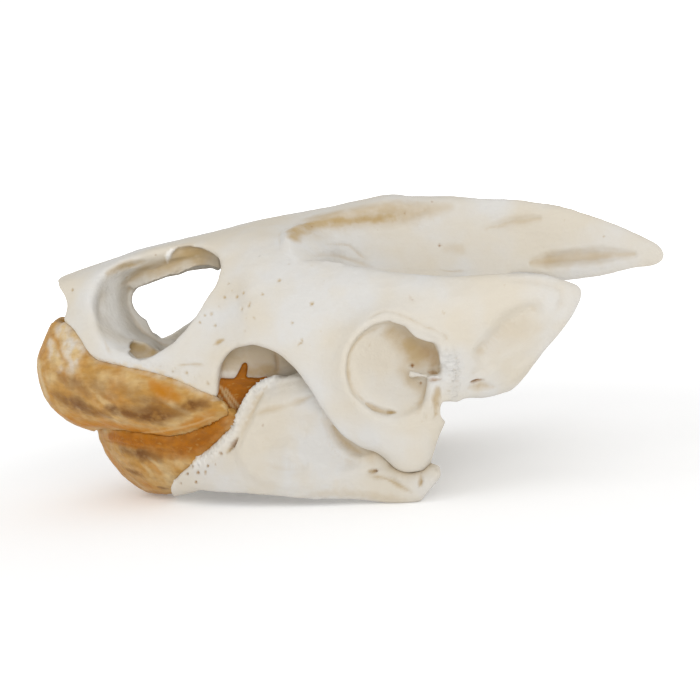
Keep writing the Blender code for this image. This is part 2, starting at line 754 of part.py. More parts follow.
def block(low, high):
    """Return a box between two corners."""
    (x0, y0, z0), (x1, y1, z1) = low, high
    return loft([[(x, y0, z0), (x, y1, z0), (x, y1, z1), (x, y0, z1)] for x in (x0, x1)], 0)


def part_off(name, whole, low, high):
    """Return the part of a body that lies inside a box, as a node of its own."""
    made = bpy.data.objects.new(name, whole.data.copy())
    bpy.context.scene.collection.objects.link(made)
    combine(made, body(f"{name}_box", [block(low, high)]), "INTERSECT")
    keep_largest(made)
    return made


def cranium_nodes(whole):
    """Part the cranium, with thin cuts, into the nodes that a person would name."""
    half = SEAM / 2
    far = 200.0
    middle = CHEEK_START
    regions = {
        "face": ((-far, -far, -far), (FACE_END - half, far, far)),
        "braincase": ((FACE_END + half, -middle + half, -far), (CREST_START - half, middle - half, far)),
        "crest": ((CREST_START + half, -middle + half, -far), (far, middle - half, far)),
        "cheek_left": ((FACE_END + half, -far, -far), (far, -middle - half, far)),
        "cheek_right": ((FACE_END + half, middle + half, -far), (far, far, far)),
    }
    nodes = [part_off(name, whole, low, high) for name, (low, high) in regions.items()]
    bpy.data.objects.remove(whole)
    return nodes


def set_down(nodes):
    """Turn the whole to its resting pitch, flatten its feet and centre it over its box."""
    turn = Matrix.Rotation(math.radians(REST_PITCH), 4, "Y")
    for node in nodes:
        node.data.transform(turn)
    floor = min(vert.co.z for node in nodes for vert in node.data.vertices) + FOOT_FLAT * MM
    for node in nodes:
        if min(vert.co.z for vert in node.data.vertices) < floor:
            below = body("below", [block((-300.0, -300.0, -300.0), (300.0, 300.0, floor / MM))])
            combine(node, below, "DIFFERENCE")
            keep_largest(node)
    corners = np.array([vert.co for node in nodes for vert in node.data.vertices])
    low, high = corners.min(axis=0), corners.max(axis=0)
    home = Matrix.Translation((-(low[0] + high[0]) / 2, -(low[1] + high[1]) / 2, -low[2]))
    for node in nodes:
        node.data.transform(home)


def main():
    """Build every node of the skull."""
    for thing in list(bpy.data.objects):
        bpy.data.objects.remove(thing)
    skull = cranium()
    mandible = jaw()
    clear(mandible, skull, JAW_GAP)
    upper = horn("upper_beak", upper_horn_ribs(), skull)
    lower = horn("lower_beak", lower_horn_ribs(), mandible)
    clear(lower, upper, SEAM)
    keep_largest(skull)
    keep_largest(mandible)
    thin_out(skull, CRANIUM_TRIANGLES)
    thin_out(mandible, JAW_TRIANGLES)
    nodes = [*cranium_nodes(skull), mandible, upper, lower]
    set_down(nodes)
    for node in nodes:
        finish = "horn" if node.name.endswith("beak") else "bone"
        node.data.materials.clear()
        node.data.materials.append(material(finish))
        node.data.shade_smooth()
        node.data.set_sharp_from_angle(angle=math.radians(50))


main()
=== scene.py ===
"""Looks of the turtle skull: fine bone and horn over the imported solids, and the stage they stand on.

Places on the skull are in millimetres in the drawing frame of the part: X runs back from the tip
of the beak, Y is the distance from the midline and Z is up, before the skull is pitched onto its
jaw. A place given as (x, z) is where the eye sees it against the plane of the midline, from the
skull's left. Both sides of the skull are worked alike.
"""

import math

import bmesh
import bpy
import numpy as np
from bpy.props import FloatProperty, FloatVectorProperty, IntProperty, PointerProperty
from mathutils import Matrix, Vector, noise
from mathutils.bvhtree import BVHTree
from mathutils.kdtree import KDTree


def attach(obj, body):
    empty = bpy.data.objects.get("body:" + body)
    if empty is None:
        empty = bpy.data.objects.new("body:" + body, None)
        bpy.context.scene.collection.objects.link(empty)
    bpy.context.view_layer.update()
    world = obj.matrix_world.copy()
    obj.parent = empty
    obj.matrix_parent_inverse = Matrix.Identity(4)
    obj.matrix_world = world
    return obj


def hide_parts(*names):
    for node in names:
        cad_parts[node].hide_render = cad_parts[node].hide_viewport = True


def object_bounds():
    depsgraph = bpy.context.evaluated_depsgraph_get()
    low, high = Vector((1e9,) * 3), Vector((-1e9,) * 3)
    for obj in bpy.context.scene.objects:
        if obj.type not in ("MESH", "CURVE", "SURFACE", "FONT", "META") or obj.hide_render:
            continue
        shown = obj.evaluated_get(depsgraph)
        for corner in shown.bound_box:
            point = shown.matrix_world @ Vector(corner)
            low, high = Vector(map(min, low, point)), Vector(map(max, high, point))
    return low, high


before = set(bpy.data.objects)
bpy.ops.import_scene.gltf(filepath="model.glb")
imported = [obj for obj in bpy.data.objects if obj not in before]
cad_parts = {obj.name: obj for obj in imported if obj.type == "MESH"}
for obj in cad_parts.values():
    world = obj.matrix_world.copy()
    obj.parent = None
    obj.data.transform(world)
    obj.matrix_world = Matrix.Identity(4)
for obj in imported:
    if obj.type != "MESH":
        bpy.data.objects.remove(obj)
CAD_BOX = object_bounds()

bl_info = {
    "name": "Turtle Skull",
    "version": (1, 0, 0),
    "blender": (4, 5, 0),
    "location": "View3D > Sidebar > Skull",
    "description": "Dresses the packed turtle skull in fine bone and horn and sets its stage",
    "category": "Object",
}

MM = 0.001

# The drawing frame: how far the skull is pitched, and where the drawing's origin lies in the model
PITCH = math.radians(6.1)
TURN = Matrix.Rotation(PITCH, 3, "Y")
BEAK_FRONT = 6.05
ZERO_HEIGHT = 2.35
HOME = Vector((CAD_BOX[0][0] / MM - BEAK_FRONT, 0.0, ZERO_HEIGHT))

# The eye: the photograph's stand, in the drawing frame
EYE_TARGET = Vector((62.0, 0.0, 27.6))
EYE_RISE = math.radians(7.0)
EYE_DISTANCE = 350.0
EYE_LINE = Vector((0.0, math.cos(EYE_RISE), -math.sin(EYE_RISE)))
EYE = EYE_TARGET - EYE_LINE * EYE_DISTANCE
FOCAL_LENGTH = 96.2
SENSOR_WIDTH = 36.0

CRANIUM_TRIANGLES = 190000
CRANIUM_NODES = ("face", "braincase", "crest", "cheek_left", "cheek_right")


class SkullShapeSettings(bpy.types.PropertyGroup):
    """Fineness of the meshes, in metres."""

    voxel: FloatProperty(
        name="Voxel", description="Size of the mesh that the bone is worked in",
        default=0.00036, unit="LENGTH"
    )
    closing: FloatProperty(
        name="Closing", description="Half the widest gap that is filled where the solids meet",
        default=0.00035, unit="LENGTH"
    )
    horn_voxel: FloatProperty(
        name="Horn voxel", description="Size of the mesh that the horn is worked in",
        default=0.0003, unit="LENGTH"
    )
    smoothing: IntProperty(name="Smoothing", description="Rounds that take out the facets", default=9, min=0)
    unevenness: FloatProperty(
        name="Unevenness", description="Height of the bone's fine unevenness", default=0.00007, unit="LENGTH"
    )


class SkullFinishSettings(bpy.types.PropertyGroup):
    """Colours and gloss of the bone and the horn."""

    bone: FloatVectorProperty(
        name="Bone", description="Clean dry bone", default=(0.635, 0.62, 0.59), subtype="COLOR"
    )
    # The bone's own yellow tone, also painted as the lighter shade of shallow hollows.
    warm: FloatVectorProperty(
        name="Warm bone", description="Bone where it is a little yellow",
        default=(0.63, 0.575, 0.48), subtype="COLOR"
    )
    # Painted shade: this tan colours the hollows, creases, folds, grooves, gaps and pits where shade falls,
    # and also the bone's fine specks.
    tan: FloatVectorProperty(
        name="Hollows", description="Bone in the hollows", default=(0.45, 0.32, 0.15), subtype="COLOR"
    )
    # Dark orange-brown deep in slits, gaps, pits and holes: painted shade there, with some stain.
    rust: FloatVectorProperty(
        name="Stain", description="Stained bone in slits and holes",
        default=(0.30, 0.14, 0.04), subtype="COLOR"
    )
    amber: FloatVectorProperty(
        name="Horn", description="Clear horn of the beak", default=(0.48, 0.265, 0.07), subtype="COLOR"
    )
    straw: FloatVectorProperty(
        name="Thin horn", description="Horn where it is worn thin",
        default=(0.64, 0.48, 0.25), subtype="COLOR"
    )
    honey: FloatVectorProperty(
        name="Edge horn", description="Clear horn of the cutting edge",
        default=(0.46, 0.17, 0.004), subtype="COLOR"
    )
    deep: FloatVectorProperty(
        name="Deep horn", description="Clear horn in the shade inside",
        default=(0.37, 0.118, 0.002), subtype="COLOR"
    )
    smoke: FloatVectorProperty(
        name="Dark horn", description="Smoky patches of the horn",
        default=(0.16, 0.062, 0.012), subtype="COLOR"
    )
    bone_gloss: FloatProperty(name="Bone roughness", description="Roughness of the bone", default=0.58)
    horn_gloss: FloatProperty(name="Horn roughness", description="Roughness of the horn", default=0.42)


class SkullStageSettings(bpy.types.PropertyGroup):
    """Floor and lights."""

    floor_size: FloatProperty(name="Floor", description="Width of the floor", default=40.0, unit="LENGTH")
    floor_glow: FloatProperty(
        name="Floor glow", description="Light that the floor gives off near the skull", default=0.17
    )
    key_power: FloatProperty(name="Key light", description="Power of the light above", default=0.5)
    fill_power: FloatProperty(name="Fill light", description="Power of the light in front", default=1.8)
    sky: FloatProperty(name="Sky", description="Strength of the light from all round", default=0.74)
    backdrop: FloatProperty(
        name="Backdrop", description="Brightness of what the camera sees behind", default=1.1
    )


# Frames of reference

def to_drawing(points):
    """Turn points of the model, in metres, into the drawing frame."""
    return (points / MM - np.array(HOME)) @ np.array(TURN)


def to_model(points):
    """Turn points of the drawing frame into the model's metres."""
    return (points @ np.array(TURN).T + np.array(HOME)) * MM


def sighted(x, z, y):
    """Return the point of the upright plane at y that the eye sees at a place."""
    ahead = Vector((x, 0.0, z)) - EYE
    return EYE + ahead * ((y - EYE.y) / ahead.y)


# Mesh tools

def placed(name, data):
    """Return a new object of the scene that holds some data."""
    made = bpy.data.objects.new(name, data)
    bpy.context.scene.collection.objects.link(made)
    return made


def node_copy(name, nodes):
    """Return one object that holds merged copies of CAD nodes."""
    kit = bmesh.new()
    for node in nodes:
        kit.from_mesh(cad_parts[node].data)
    bmesh.ops.remove_doubles(kit, verts=kit.verts, dist=1e-6)
    mesh = bpy.data.meshes.new(name)
    kit.to_mesh(mesh)
    kit.free()
    mesh.materials.clear()
    return placed(name, mesh)


def mesh_points(mesh):
    """Return the points of a mesh in the drawing frame."""
    held = np.empty(len(mesh.vertices) * 3, np.float32)
    mesh.vertices.foreach_get("co", held)
    return to_drawing(held.reshape(-1, 3).astype(float))


def node_tree(name):
    """Return a search tree, in the drawing frame, over the surface of a CAD node."""
    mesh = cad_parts[name].data
    return BVHTree.FromPolygons(mesh_points(mesh).tolist(), [tuple(face.vertices) for face in mesh.polygons])


def change(thing, kind, **values):
    """Run one modifier with named values on an object, and keep the mesh that it makes."""
    step = thing.modifiers.new(kind.lower(), kind)
    for key, value in values.items():
        setattr(step, key, value)
    graph = bpy.context.evaluated_depsgraph_get()
    mesh = bpy.data.meshes.new_from_object(thing.evaluated_get(graph))
    thing.modifiers.clear()
    old = thing.data
    thing.data = mesh
    bpy.data.meshes.remove(old)


def voxel_skin(thing, size):
    """Fuse an object's shells into one even skin; size is in metres."""
    change(thing, "REMESH", mode="VOXEL", voxel_size=size)


def swell(thing, distance):
    """Move the surface out along its normals, by a distance in metres."""
    change(thing, "DISPLACE", mid_level=0.0, strength=distance)


def relax(thing, rounds):
    """Smooth the surface."""
    change(thing, "SMOOTH", factor=0.5, iterations=rounds)


def fuse(thing, size, closing):
    """Fuse shells into one skin and close the thin gaps between them."""
    voxel_skin(thing, size)
    for distance in (closing, -closing):
        swell(thing, distance)
        voxel_skin(thing, size)


def thin_out(thing, triangles):
    """Bring an object down to a number of triangles."""
    thing.data.calc_loop_triangles()
    share = min(1.0, triangles / len(thing.data.loop_triangles))
    change(thing, "DECIMATE", ratio=share, use_collapse_triangulate=True)


def combine(thing, pieces, operation):
    """Cut pieces of the drawing frame out of an object, or join them to it, one by one."""
    for points, faces in pieces:
        mesh = bpy.data.meshes.new("tool")
        mesh.from_pydata(to_model(points).tolist(), [], [tuple(int(k) for k in face) for face in faces])
        kit = bmesh.new()
        kit.from_mesh(mesh)
        bmesh.ops.recalc_face_normals(kit, faces=kit.faces)
        kit.to_mesh(mesh)
        kit.free()
        tool = placed("tool", mesh)
        change(thing, "BOOLEAN", operation=operation, object=tool, solver="MANIFOLD")
        bpy.data.objects.remove(tool)


def keep_largest(thing):
    """Keep only the largest closed surface of an object."""
    mesh = thing.data
    count = len(mesh.vertices)
    edges = np.empty(len(mesh.edges) * 2, np.int32)
    mesh.edges.foreach_get("vertices", edges)
    a, b = edges.reshape(-1, 2).T
    shell = np.arange(count)
    while True:
        low = np.minimum(shell[a], shell[b])
        before = shell.copy()
        np.minimum.at(shell, a, low)
        np.minimum.at(shell, b, low)
        shell = shell[shell]
        if np.array_equal(before, shell):
            break
    main = np.bincount(shell).argmax()
    kit = bmesh.new()
    kit.from_mesh(mesh)
    kit.verts.ensure_lookup_table()
    loose = [kit.verts[int(k)] for k in np.flatnonzero(shell != main)]
    bmesh.ops.delete(kit, geom=loose, context="VERTS")
    kit.to_mesh(mesh)
    kit.free()


def smooth_path(points, count):
    """Return count points on the smooth curve that passes through the given ones in turn."""
    keys = np.array(points, dtype=float)
    slope = np.gradient(keys, axis=0)
    place = np.linspace(0.0, len(keys) - 1.0, count)
    first = np.minimum(place.astype(int), len(keys) - 2)
    t = (place - first)[:, None]
    start, end = keys[first], keys[first + 1]
    leave, arrive = slope[first], slope[first + 1]
    return (
        (2 * t**3 - 3 * t**2 + 1) * start
        + (t**3 - 2 * t**2 + t) * leave
        + (3 * t**2 - 2 * t**3) * end
        + (t**3 - t**2) * arrive
    )


def tube(path, radii, steps=20, count=16):
    """Skin a bar of changing radius along a path."""
    places = smooth_path(path, steps)
    sizes = smooth_path(np.array(radii, dtype=float).reshape(-1, 1), steps)[:, 0]
    heading = np.gradient(places, axis=0)
    angle = np.linspace(0.0, 2 * math.pi, count, endpoint=False)
    rings = []
    for place, size, ahead in zip(places, sizes, heading, strict=True):
        ahead = Vector(ahead).normalized()
        side = ahead.cross(Vector((0, 0, 1)))
        if side.length < 0.1:
            side = ahead.cross(Vector((0, 1, 0)))
        side.normalize()
        up = side.cross(ahead)
        across = np.outer(np.cos(angle), np.array(side) * size)
        rings.append(place + across + np.outer(np.sin(angle), np.array(up) * size))
    points = np.concatenate(rings)
    index = np.arange(steps * count).reshape(steps, count)
    faces = []
    for row in range(steps - 1):
        for k in range(count):
            n = (k + 1) % count
            faces.append((index[row, k], index[row, n], index[row + 1, n], index[row + 1, k]))
    faces.append(tuple(index[0, ::-1]))
    faces.append(tuple(index[-1]))
    return points, faces


def pair(piece):
    """Return a piece and its mirror image on the other side of the midline."""
    points, faces = piece
    return [piece, (points * np.array([1.0, -1.0, 1.0]), [tuple(face[::-1]) for face in faces])]


# Sculpting, in millimetres. Strokes wider than BROAD follow the broad shape and not its details, and
# the colour marks of those from RAGGED on have an uneven edge. A trail has a spot at each FINEST_STEP, or at
# each STEP_SHARE of its width, and over TAPER widths at its ends it thins down to END_SHARE. LUMPS and
# GRAIN say how rough a noise is: how fast its layers fade, how much finer each is and how many it has.

BROAD = 1.9
RAGGED = 0.7
CALM_ROUNDS = 14
FINEST_STEP = 0.25
STEP_SHARE = 0.1
TAPER = 2.2
END_SHARE, FULL_SHARE = 0.45, 0.55
WAVER = 0.45
FACING_GAIN = 1.6
EDGE_LUMPS, EDGE_SHIFT = 0.4, 0.12
SMOOTHED, KEPT = 0.6, 0.4
LUMPS = (0.8, 2.2, 3)
GRAIN = (0.9, 2.1, 3)


class Clay:
    """A mesh held as arrays in the drawing frame while it is sculpted and marked with colours, painted shade
    and light among them.
    """

    def __init__(self, thing):
        self.thing = thing
        mesh = thing.data
        self.count = len(mesh.vertices)
        edges = np.empty(len(mesh.edges) * 2, np.int32)
        mesh.edges.foreach_get("vertices", edges)
        self.edges = edges.reshape(-1, 2)
        self.degree = np.bincount(self.edges.ravel(), minlength=self.count).astype(float)
        self.marks = {}
        self.read()

    def read(self):
        """Take the points, the normals and a search tree from the object's mesh."""
        mesh = self.thing.data
        self.points = mesh_points(mesh)
        self.unworked = self.points.copy()
        normals = np.empty(self.count * 3, np.float32)
        mesh.vertices.foreach_get("normal", normals)
        self.normals = normals.reshape(-1, 3).astype(float) @ np.array(TURN)
        calm = self.averaged(self.normals, CALM_ROUNDS)
        self.calm = calm / np.maximum(np.linalg.norm(calm, axis=1), 1e-6)[:, None]
        polygons = [tuple(face.vertices) for face in mesh.polygons]
        self.corners = [corners[0] for corners in polygons]
        self.tree = BVHTree.FromPolygons(self.points.tolist(), polygons)

    def write(self):
        """Put the worked points and the marks back into the mesh."""
        mesh = self.thing.data
        mesh.vertices.foreach_set("co", to_model(self.points).astype(np.float32).ravel())
        mesh.update()
        for name, values in self.marks.items():
            mark = mesh.attributes.get(name) or mesh.attributes.new(name, "FLOAT", "POINT")
            mark.data.foreach_set("value", np.clip(values, 0.0, 1.0).astype(np.float32))

    def refresh(self):
        """Write the points back and take up the new normals and search tree."""
        self.write()
        self.read()

    def seen(self, x, z):
        """Return the point that the eye sees at a place and the calm normal there, or None off the skull."""
        ahead = (Vector((x, 0.0, z)) - EYE).normalized()
        point, _, face, _ = self.tree.ray_cast(EYE, ahead)
        return None if point is None else (np.array(point), self.calm[self.corners[face]])

    def trail(self, places, width, even=False):
        """Return closely spaced points, normals and half widths on the surface along a line of places.

        The band thins out towards its ends and wavers if it is narrow, unless it is even."""
        line = np.array(places, dtype=float)
        length = np.linalg.norm(np.diff(line, axis=0), axis=1).sum()
        if len(line) > 1:
            line = smooth_path(line, max(4, int(length / max(FINEST_STEP, width * STEP_SHARE)) + 1))
        widths = np.full(len(line), width)
        if len(line) > 1 and not even:
            along = np.linspace(0.0, 1.0, len(line))
            ends = np.clip(np.minimum(along, 1.0 - along) * length / (TAPER * width), 0.0, 1.0)
            wobble = np.array([noise.noise(Vector((x, z, width)) / (1.5 + width)) for x, z in line])
            widths = width * (END_SHARE + FULL_SHARE * ends) * (1.0 + WAVER * wobble * (width < BROAD))
        spots = [self.seen(x, z) for x, z in line]
        hits = [(*spot, size) for spot, size in zip(spots, widths, strict=True) if spot]
        if not hits:
            raise ValueError(f"no bone is seen at {places[0]}")
        return [np.array(column) for column in zip(*hits, strict=True)]

    def nearness(self, trail, wrap=False):
        """Return the vertices near a trail on either side, how near, and that again with an uneven edge."""
        picks, shares, mark_shares = [], [], []
        sizes = trail[2]
        width = sizes.max()
        facing = self.calm if width > BROAD else self.normals
        for side in (1.0, -1.0):
            flip = np.array([1.0, side, 1.0])
            spots, looks = trail[0] * flip, trail[1] * flip
            low, high = spots.min(axis=0) - width, spots.max(axis=0) + width
            inside = np.flatnonzero(((self.unworked > low) & (self.unworked < high)).all(axis=1))
            if not len(inside):
                continue
            near = np.full(len(inside), np.inf)
            turn = np.zeros(len(inside))
            fade = np.ones(len(inside))
            for spot, look, size in zip(spots, looks, sizes, strict=True):
                gap = ((self.unworked[inside] - spot) ** 2).sum(axis=1) / size**2
                closer = gap < near
                near[closer] = gap[closer]
                turn[closer] = facing[inside][closer] @ look
                fade[closer] = size / width
            gate = fade * (1.0 if wrap else np.clip(turn * FACING_GAIN, 0.0, 1.0))
            kept = near < 1.0
            uneven = near[kept]
            if width >= RAGGED:
                spots = self.unworked[inside[kept]] / (0.7 * width)
                lumps = np.array([noise.fractal(Vector(spot), *LUMPS) for spot in spots])
                uneven = uneven * (1.0 + EDGE_LUMPS * lumps) + EDGE_SHIFT * lumps
            gate = gate[kept]
            picks.append(inside[kept])
            shares.append((1.0 - near[kept]) ** 2 * gate)
            mark_shares.append(np.clip(1.0 - uneven, 0.0, 1.0) ** 1.5 * gate)
        return np.concatenate(picks), np.concatenate(shares), np.concatenate(mark_shares)

    def stroke(self, places, width, height, wrap=False, **marks):
        """Raise or sink a band along a line of places, and mark it."""
        picks, shares, mark_shares = self.nearness(self.trail(places, width), wrap)
        facing = self.calm if width > BROAD else self.normals
        self.points[picks] += facing[picks] * (shares * height)[:, None]
        for name, strength in marks.items():
            self.mark(name, picks, mark_shares * strength)

    def mark_even_band(self, places, width, **marks):
        """Mark an even band along a line of places, whichever way its surface faces."""
        picks, _, mark_shares = self.nearness(self.trail(places, width, even=True), wrap=True)
        for name, strength in marks.items():
            self.mark(name, picks, mark_shares * strength)

    def soften(self, places, width, rounds):
        """Smooth the surface away along a line of places."""
        picks, shares, _ = self.nearness(self.trail(places, width, even=True), wrap=True)
        settled = self.averaged(self.points, rounds)
        share = np.clip(shares * 3.0, 0.0, 1.0)[:, None]
        self.points[picks] += (settled[picks] - self.points[picks]) * share

    def rope(self, places, reach, pitch, width, height):
        """Raise short bars side by side across a line of places, each slanted a little its own way."""
        line = smooth_path(places, 300)
        run = np.append(0.0, np.cumsum(np.linalg.norm(np.diff(line, axis=0), axis=1)))
        ahead = np.gradient(line, axis=0)
        for count, k in enumerate(np.searchsorted(run, np.arange(0.0, run[-1], pitch))):
            x, z = line[k]
            along, rise = ahead[k] / np.linalg.norm(ahead[k]) * reach
            slant = 0.25 * math.sin(2.3 * count)
            self.stroke([(x - rise + slant, z + along), (x, z), (x + rise, z - along + slant)], width, height)

    def pits(self, name, *pits):
        """Sink small pits, each with its x, z, radius, depth and how strongly it bears a mark."""
        for x, z, radius, depth, strength in pits:
            self.stroke([(x, z)], radius, -depth, **{name: strength})

    def paint(self, name, *bands):
        """Mark bands, each with how strongly, its width and its line of places."""
        for strength, width, *places in bands:
            self.stroke(places, width, 0.0, **{name: strength})

    def pull(self, place, reach, shift):
        """Draw the surface around a place over by a shift (back, out, up)."""
        trail = [np.array([part]) for part in (*self.seen(*place), reach)]
        picks, shares, _ = self.nearness(trail, wrap=True)
        side = np.where(self.unworked[picks, 1] < 0.0, -1.0, 1.0)
        back, out, up = (shares * part for part in shift)
        self.points[picks] += np.stack([back, out * side, up], axis=1)

    def distance_to(self, other, reach):
        """Return how far each vertex lies from another mesh, and the nearest points on it."""
        near = np.full(self.count, reach)
        spots = self.points.copy()
        for k, point in enumerate(self.points):
            spot, _, _, gap = other.find_nearest(point, reach)
            if spot is not None:
                near[k] = gap
                spots[k] = spot
        return near, spots

    def closeness(self, other, reach):
        """Return how close each vertex is to another mesh, from 0 at the reach to 1 where they touch."""
        return 1.0 - self.distance_to(other, reach)[0] / reach

    def lean_on(self, other, reach, overlap, where=1.0):
        """Draw the rim over to a neighbour's surface, so that no seam stays open between them."""
        near, spots = self.distance_to(other, reach)
        share = (np.clip((reach - near) / (reach * 0.6), 0.0, 1.0) * where)[:, None]
        way = spots - self.points
        length = np.maximum(np.linalg.norm(way, axis=1), 1e-6)[:, None]
        self.points += way * share + way / length * overlap * share

    def fill_seam(self, other, reach, height):
        """Raise the lip next to a neighbour, so that the two rounded lips leave no groove."""
        self.points += self.calm * np.clip(self.closeness(other, reach), 0.0, 1.0)[:, None] * height

    def grit(self, places, width, height, grain):
        """Roughen a band along a line of places."""
        picks, shares, _ = self.nearness(self.trail(places, width), wrap=True)
        lumps = np.array([noise.noise(Vector(point) / grain) for point in self.points[picks]])
        self.points[picks] += self.normals[picks] * (shares * height * lumps)[:, None]

    def mark(self, name, picks, strength):
        """Add to a mark where it is named, so that overlapping strokes don't pile up."""
        values = self.marks.setdefault(name, np.zeros(self.count))
        values[picks] = np.maximum(values[picks], strength)

    def averaged(self, values, rounds):
        """Average values, one row for each vertex, over the mesh."""
        a, b = self.edges.T
        for _ in range(rounds):
            columns = []
            for column in values.reshape(self.count, -1).T:
                total = np.bincount(a, column[b], self.count) + np.bincount(b, column[a], self.count)
                columns.append(total / self.degree)
            values = np.array(columns).T.reshape(values.shape) * SMOOTHED + values * KEPT
        return values

    def hollow_marks(self, reach=16.0, rays=40, spacing=1.3, lift=0.4, rounds=12):
        """Mark how enclosed each part of the surface is, by rays from just above spots of it, for painted
        shade.
        """
        cells = np.round(self.points / spacing).astype(int)
        _, picks = np.unique(cells, axis=0, return_index=True)
        turn = np.arange(rays) + 0.5
        rise = 1.0 - turn / rays
        swing = turn * math.pi * (1 + 5**0.5)
        flat = np.sqrt(1.0 - rise**2)
        dome = np.stack([flat * np.cos(swing), flat * np.sin(swing), rise], axis=1)
        found = KDTree(len(picks))
        shut = np.zeros(len(picks))
        for row, k in enumerate(picks):
            up = Vector(self.normals[k])
            start = Vector(self.points[k]) + up * lift
            frame_turn = np.array(up.to_track_quat("Z", "Y").to_matrix())
            hits = 0.0
            for ray in dome @ frame_turn.T:
                _, _, _, gap = self.tree.ray_cast(start, ray, reach)
                if gap is not None:
                    hits += 1.0 - gap / reach
            shut[row] = hits / rays
            found.insert(self.points[k], row)
        found.balance()
        values = np.array([shut[found.find(point)[1]] for point in self.points])
        self.marks["hollow"] = self.averaged(values, rounds)

    def crease_marks(self, rounds=10, height=0.25):
        """Mark narrow creases and pits, for painted shade."""
        settled = self.averaged(self.points, rounds)
        dip = ((settled - self.points) * self.normals).sum(axis=1)
        self.marks["crease"] = np.clip(dip / height, 0.0, 1.0)

    def unevenness(self, height, grain):
        """Give the whole surface a fine natural unevenness."""
        lumps = np.array([noise.fractal(Vector(point) / grain, *GRAIN) for point in self.points])
        self.points += self.normals * (lumps * height)[:, None]


def piece_tree(name):
    """Return a search tree, in the drawing frame, over a finished piece."""
    return Clay(bpy.data.objects[name]).tree


# Material tools

def node(tree, kind, links=(), **values):
    """Add a node, set its named values, and link its inputs."""
    made = tree.nodes.new(kind)
    for key, value in values.items():
        setattr(made, key, value)
    for socket, source in links:
        if isinstance(source, bpy.types.NodeSocket):
            tree.links.new(source, made.inputs[socket])
        else:
            made.inputs[socket].default_value = source
    return made


def mottle_group():
    """Cloudy mask: noise on object coordinates, stretched and steepened."""
    found = bpy.data.node_groups.get("mottle")
    if found:
        return found
    tree = bpy.data.node_groups.new("mottle", "ShaderNodeTree")
    for label in ("Size", "Detail", "Low", "High"):
        tree.interface.new_socket(label, in_out="INPUT", socket_type="NodeSocketFloat")
    tree.interface.new_socket("Stretch", in_out="INPUT", socket_type="NodeSocketVector")
    tree.interface.new_socket("Mask", in_out="OUTPUT", socket_type="NodeSocketFloat")
    start, end = tree.nodes.new("NodeGroupInput"), tree.nodes.new("NodeGroupOutput")
    size, detail, low, high, stretch = start.outputs[:5]
    place = node(tree, "ShaderNodeTexCoord").outputs["Object"]
    bent = node(tree, "ShaderNodeVectorMath", [(0, place), (1, stretch)], operation="MULTIPLY")
    scale = node(tree, "ShaderNodeMath", [(0, 1.0), (1, size)], operation="DIVIDE")
    links = [("Vector", bent.outputs[0]), ("Scale", scale.outputs[0]), ("Detail", detail)]
    cloud = node(tree, "ShaderNodeTexNoise", links)
    tree.links.new(ramped(tree, cloud.outputs["Fac"], low, high), end.inputs["Mask"])
    return tree


def mottle(tree, size, low, high, detail=3.0, stretch=(1.0, 1.0, 1.0)):
    """Place the cloudy mask in a material and return its output."""
    links = [("Size", size), ("Low", low), ("High", high), ("Detail", detail), ("Stretch", stretch)]
    return node(tree, "ShaderNodeGroup", links, node_tree=mottle_group()).outputs["Mask"]


def covered(tree, colour, layers):
    """Lay colours over a colour, each through its mask, and return the result."""
    for share, tint in layers:
        mix = node(tree, "ShaderNodeMix", [("Factor", share), (6, colour), (7, tint)], data_type="RGBA")
        colour = mix.outputs[2]
    return colour


def times(tree, first, second):
    """Multiply two masks and return the result."""
    links = [(0, first), (1, second)]
    return node(tree, "ShaderNodeMath", links, operation="MULTIPLY", use_clamp=True).outputs[0]


def ramped(tree, value, low, high, top=1.0, bottom=0.0):
    """Stretch a mask between two levels, from a bottom up to a top value."""
    links = [("Value", value), ("From Min", low), ("From Max", high), ("To Min", bottom), ("To Max", top)]
    return node(tree, "ShaderNodeMapRange", links).outputs["Result"]


def marked(tree, name):
    """Return a mark of the mesh as a mask."""
    return node(tree, "ShaderNodeAttribute", attribute_name=name).outputs["Fac"]


def bumped(tree, layers):
    """Stack bump layers, each a height mask and a depth in metres, and return the normal."""
    normal = None
    for height, depth in layers:
        links = [("Height", height), ("Distance", depth), ("Strength", 1.0)]
        if normal is not None:
            links.append(("Normal", normal))
        normal = node(tree, "ShaderNodeBump", links).outputs["Normal"]
    return normal


def new_material(name, roughness, specular):
    """Return a new material, its node tree and its Principled shader."""
    made = bpy.data.materials.new(name)
    made.use_nodes = True
    shader = made.node_tree.nodes["Principled BSDF"]
    shader.inputs["Roughness"].default_value = roughness
    shader.inputs["Specular IOR Level"].default_value = specular
    return made, made.node_tree, shader


def shades(*names):
    """Return colours of the settings, with full cover."""
    return [(*getattr(bpy.context.scene.skull_finish, name), 1.0) for name in names]


# Pale bone, also laid as painted light on walls in shade and as a painted highlight under the brow.
PALE_AND_PAINTED_LIGHT = (0.86, 0.85, 0.82, 1.0)


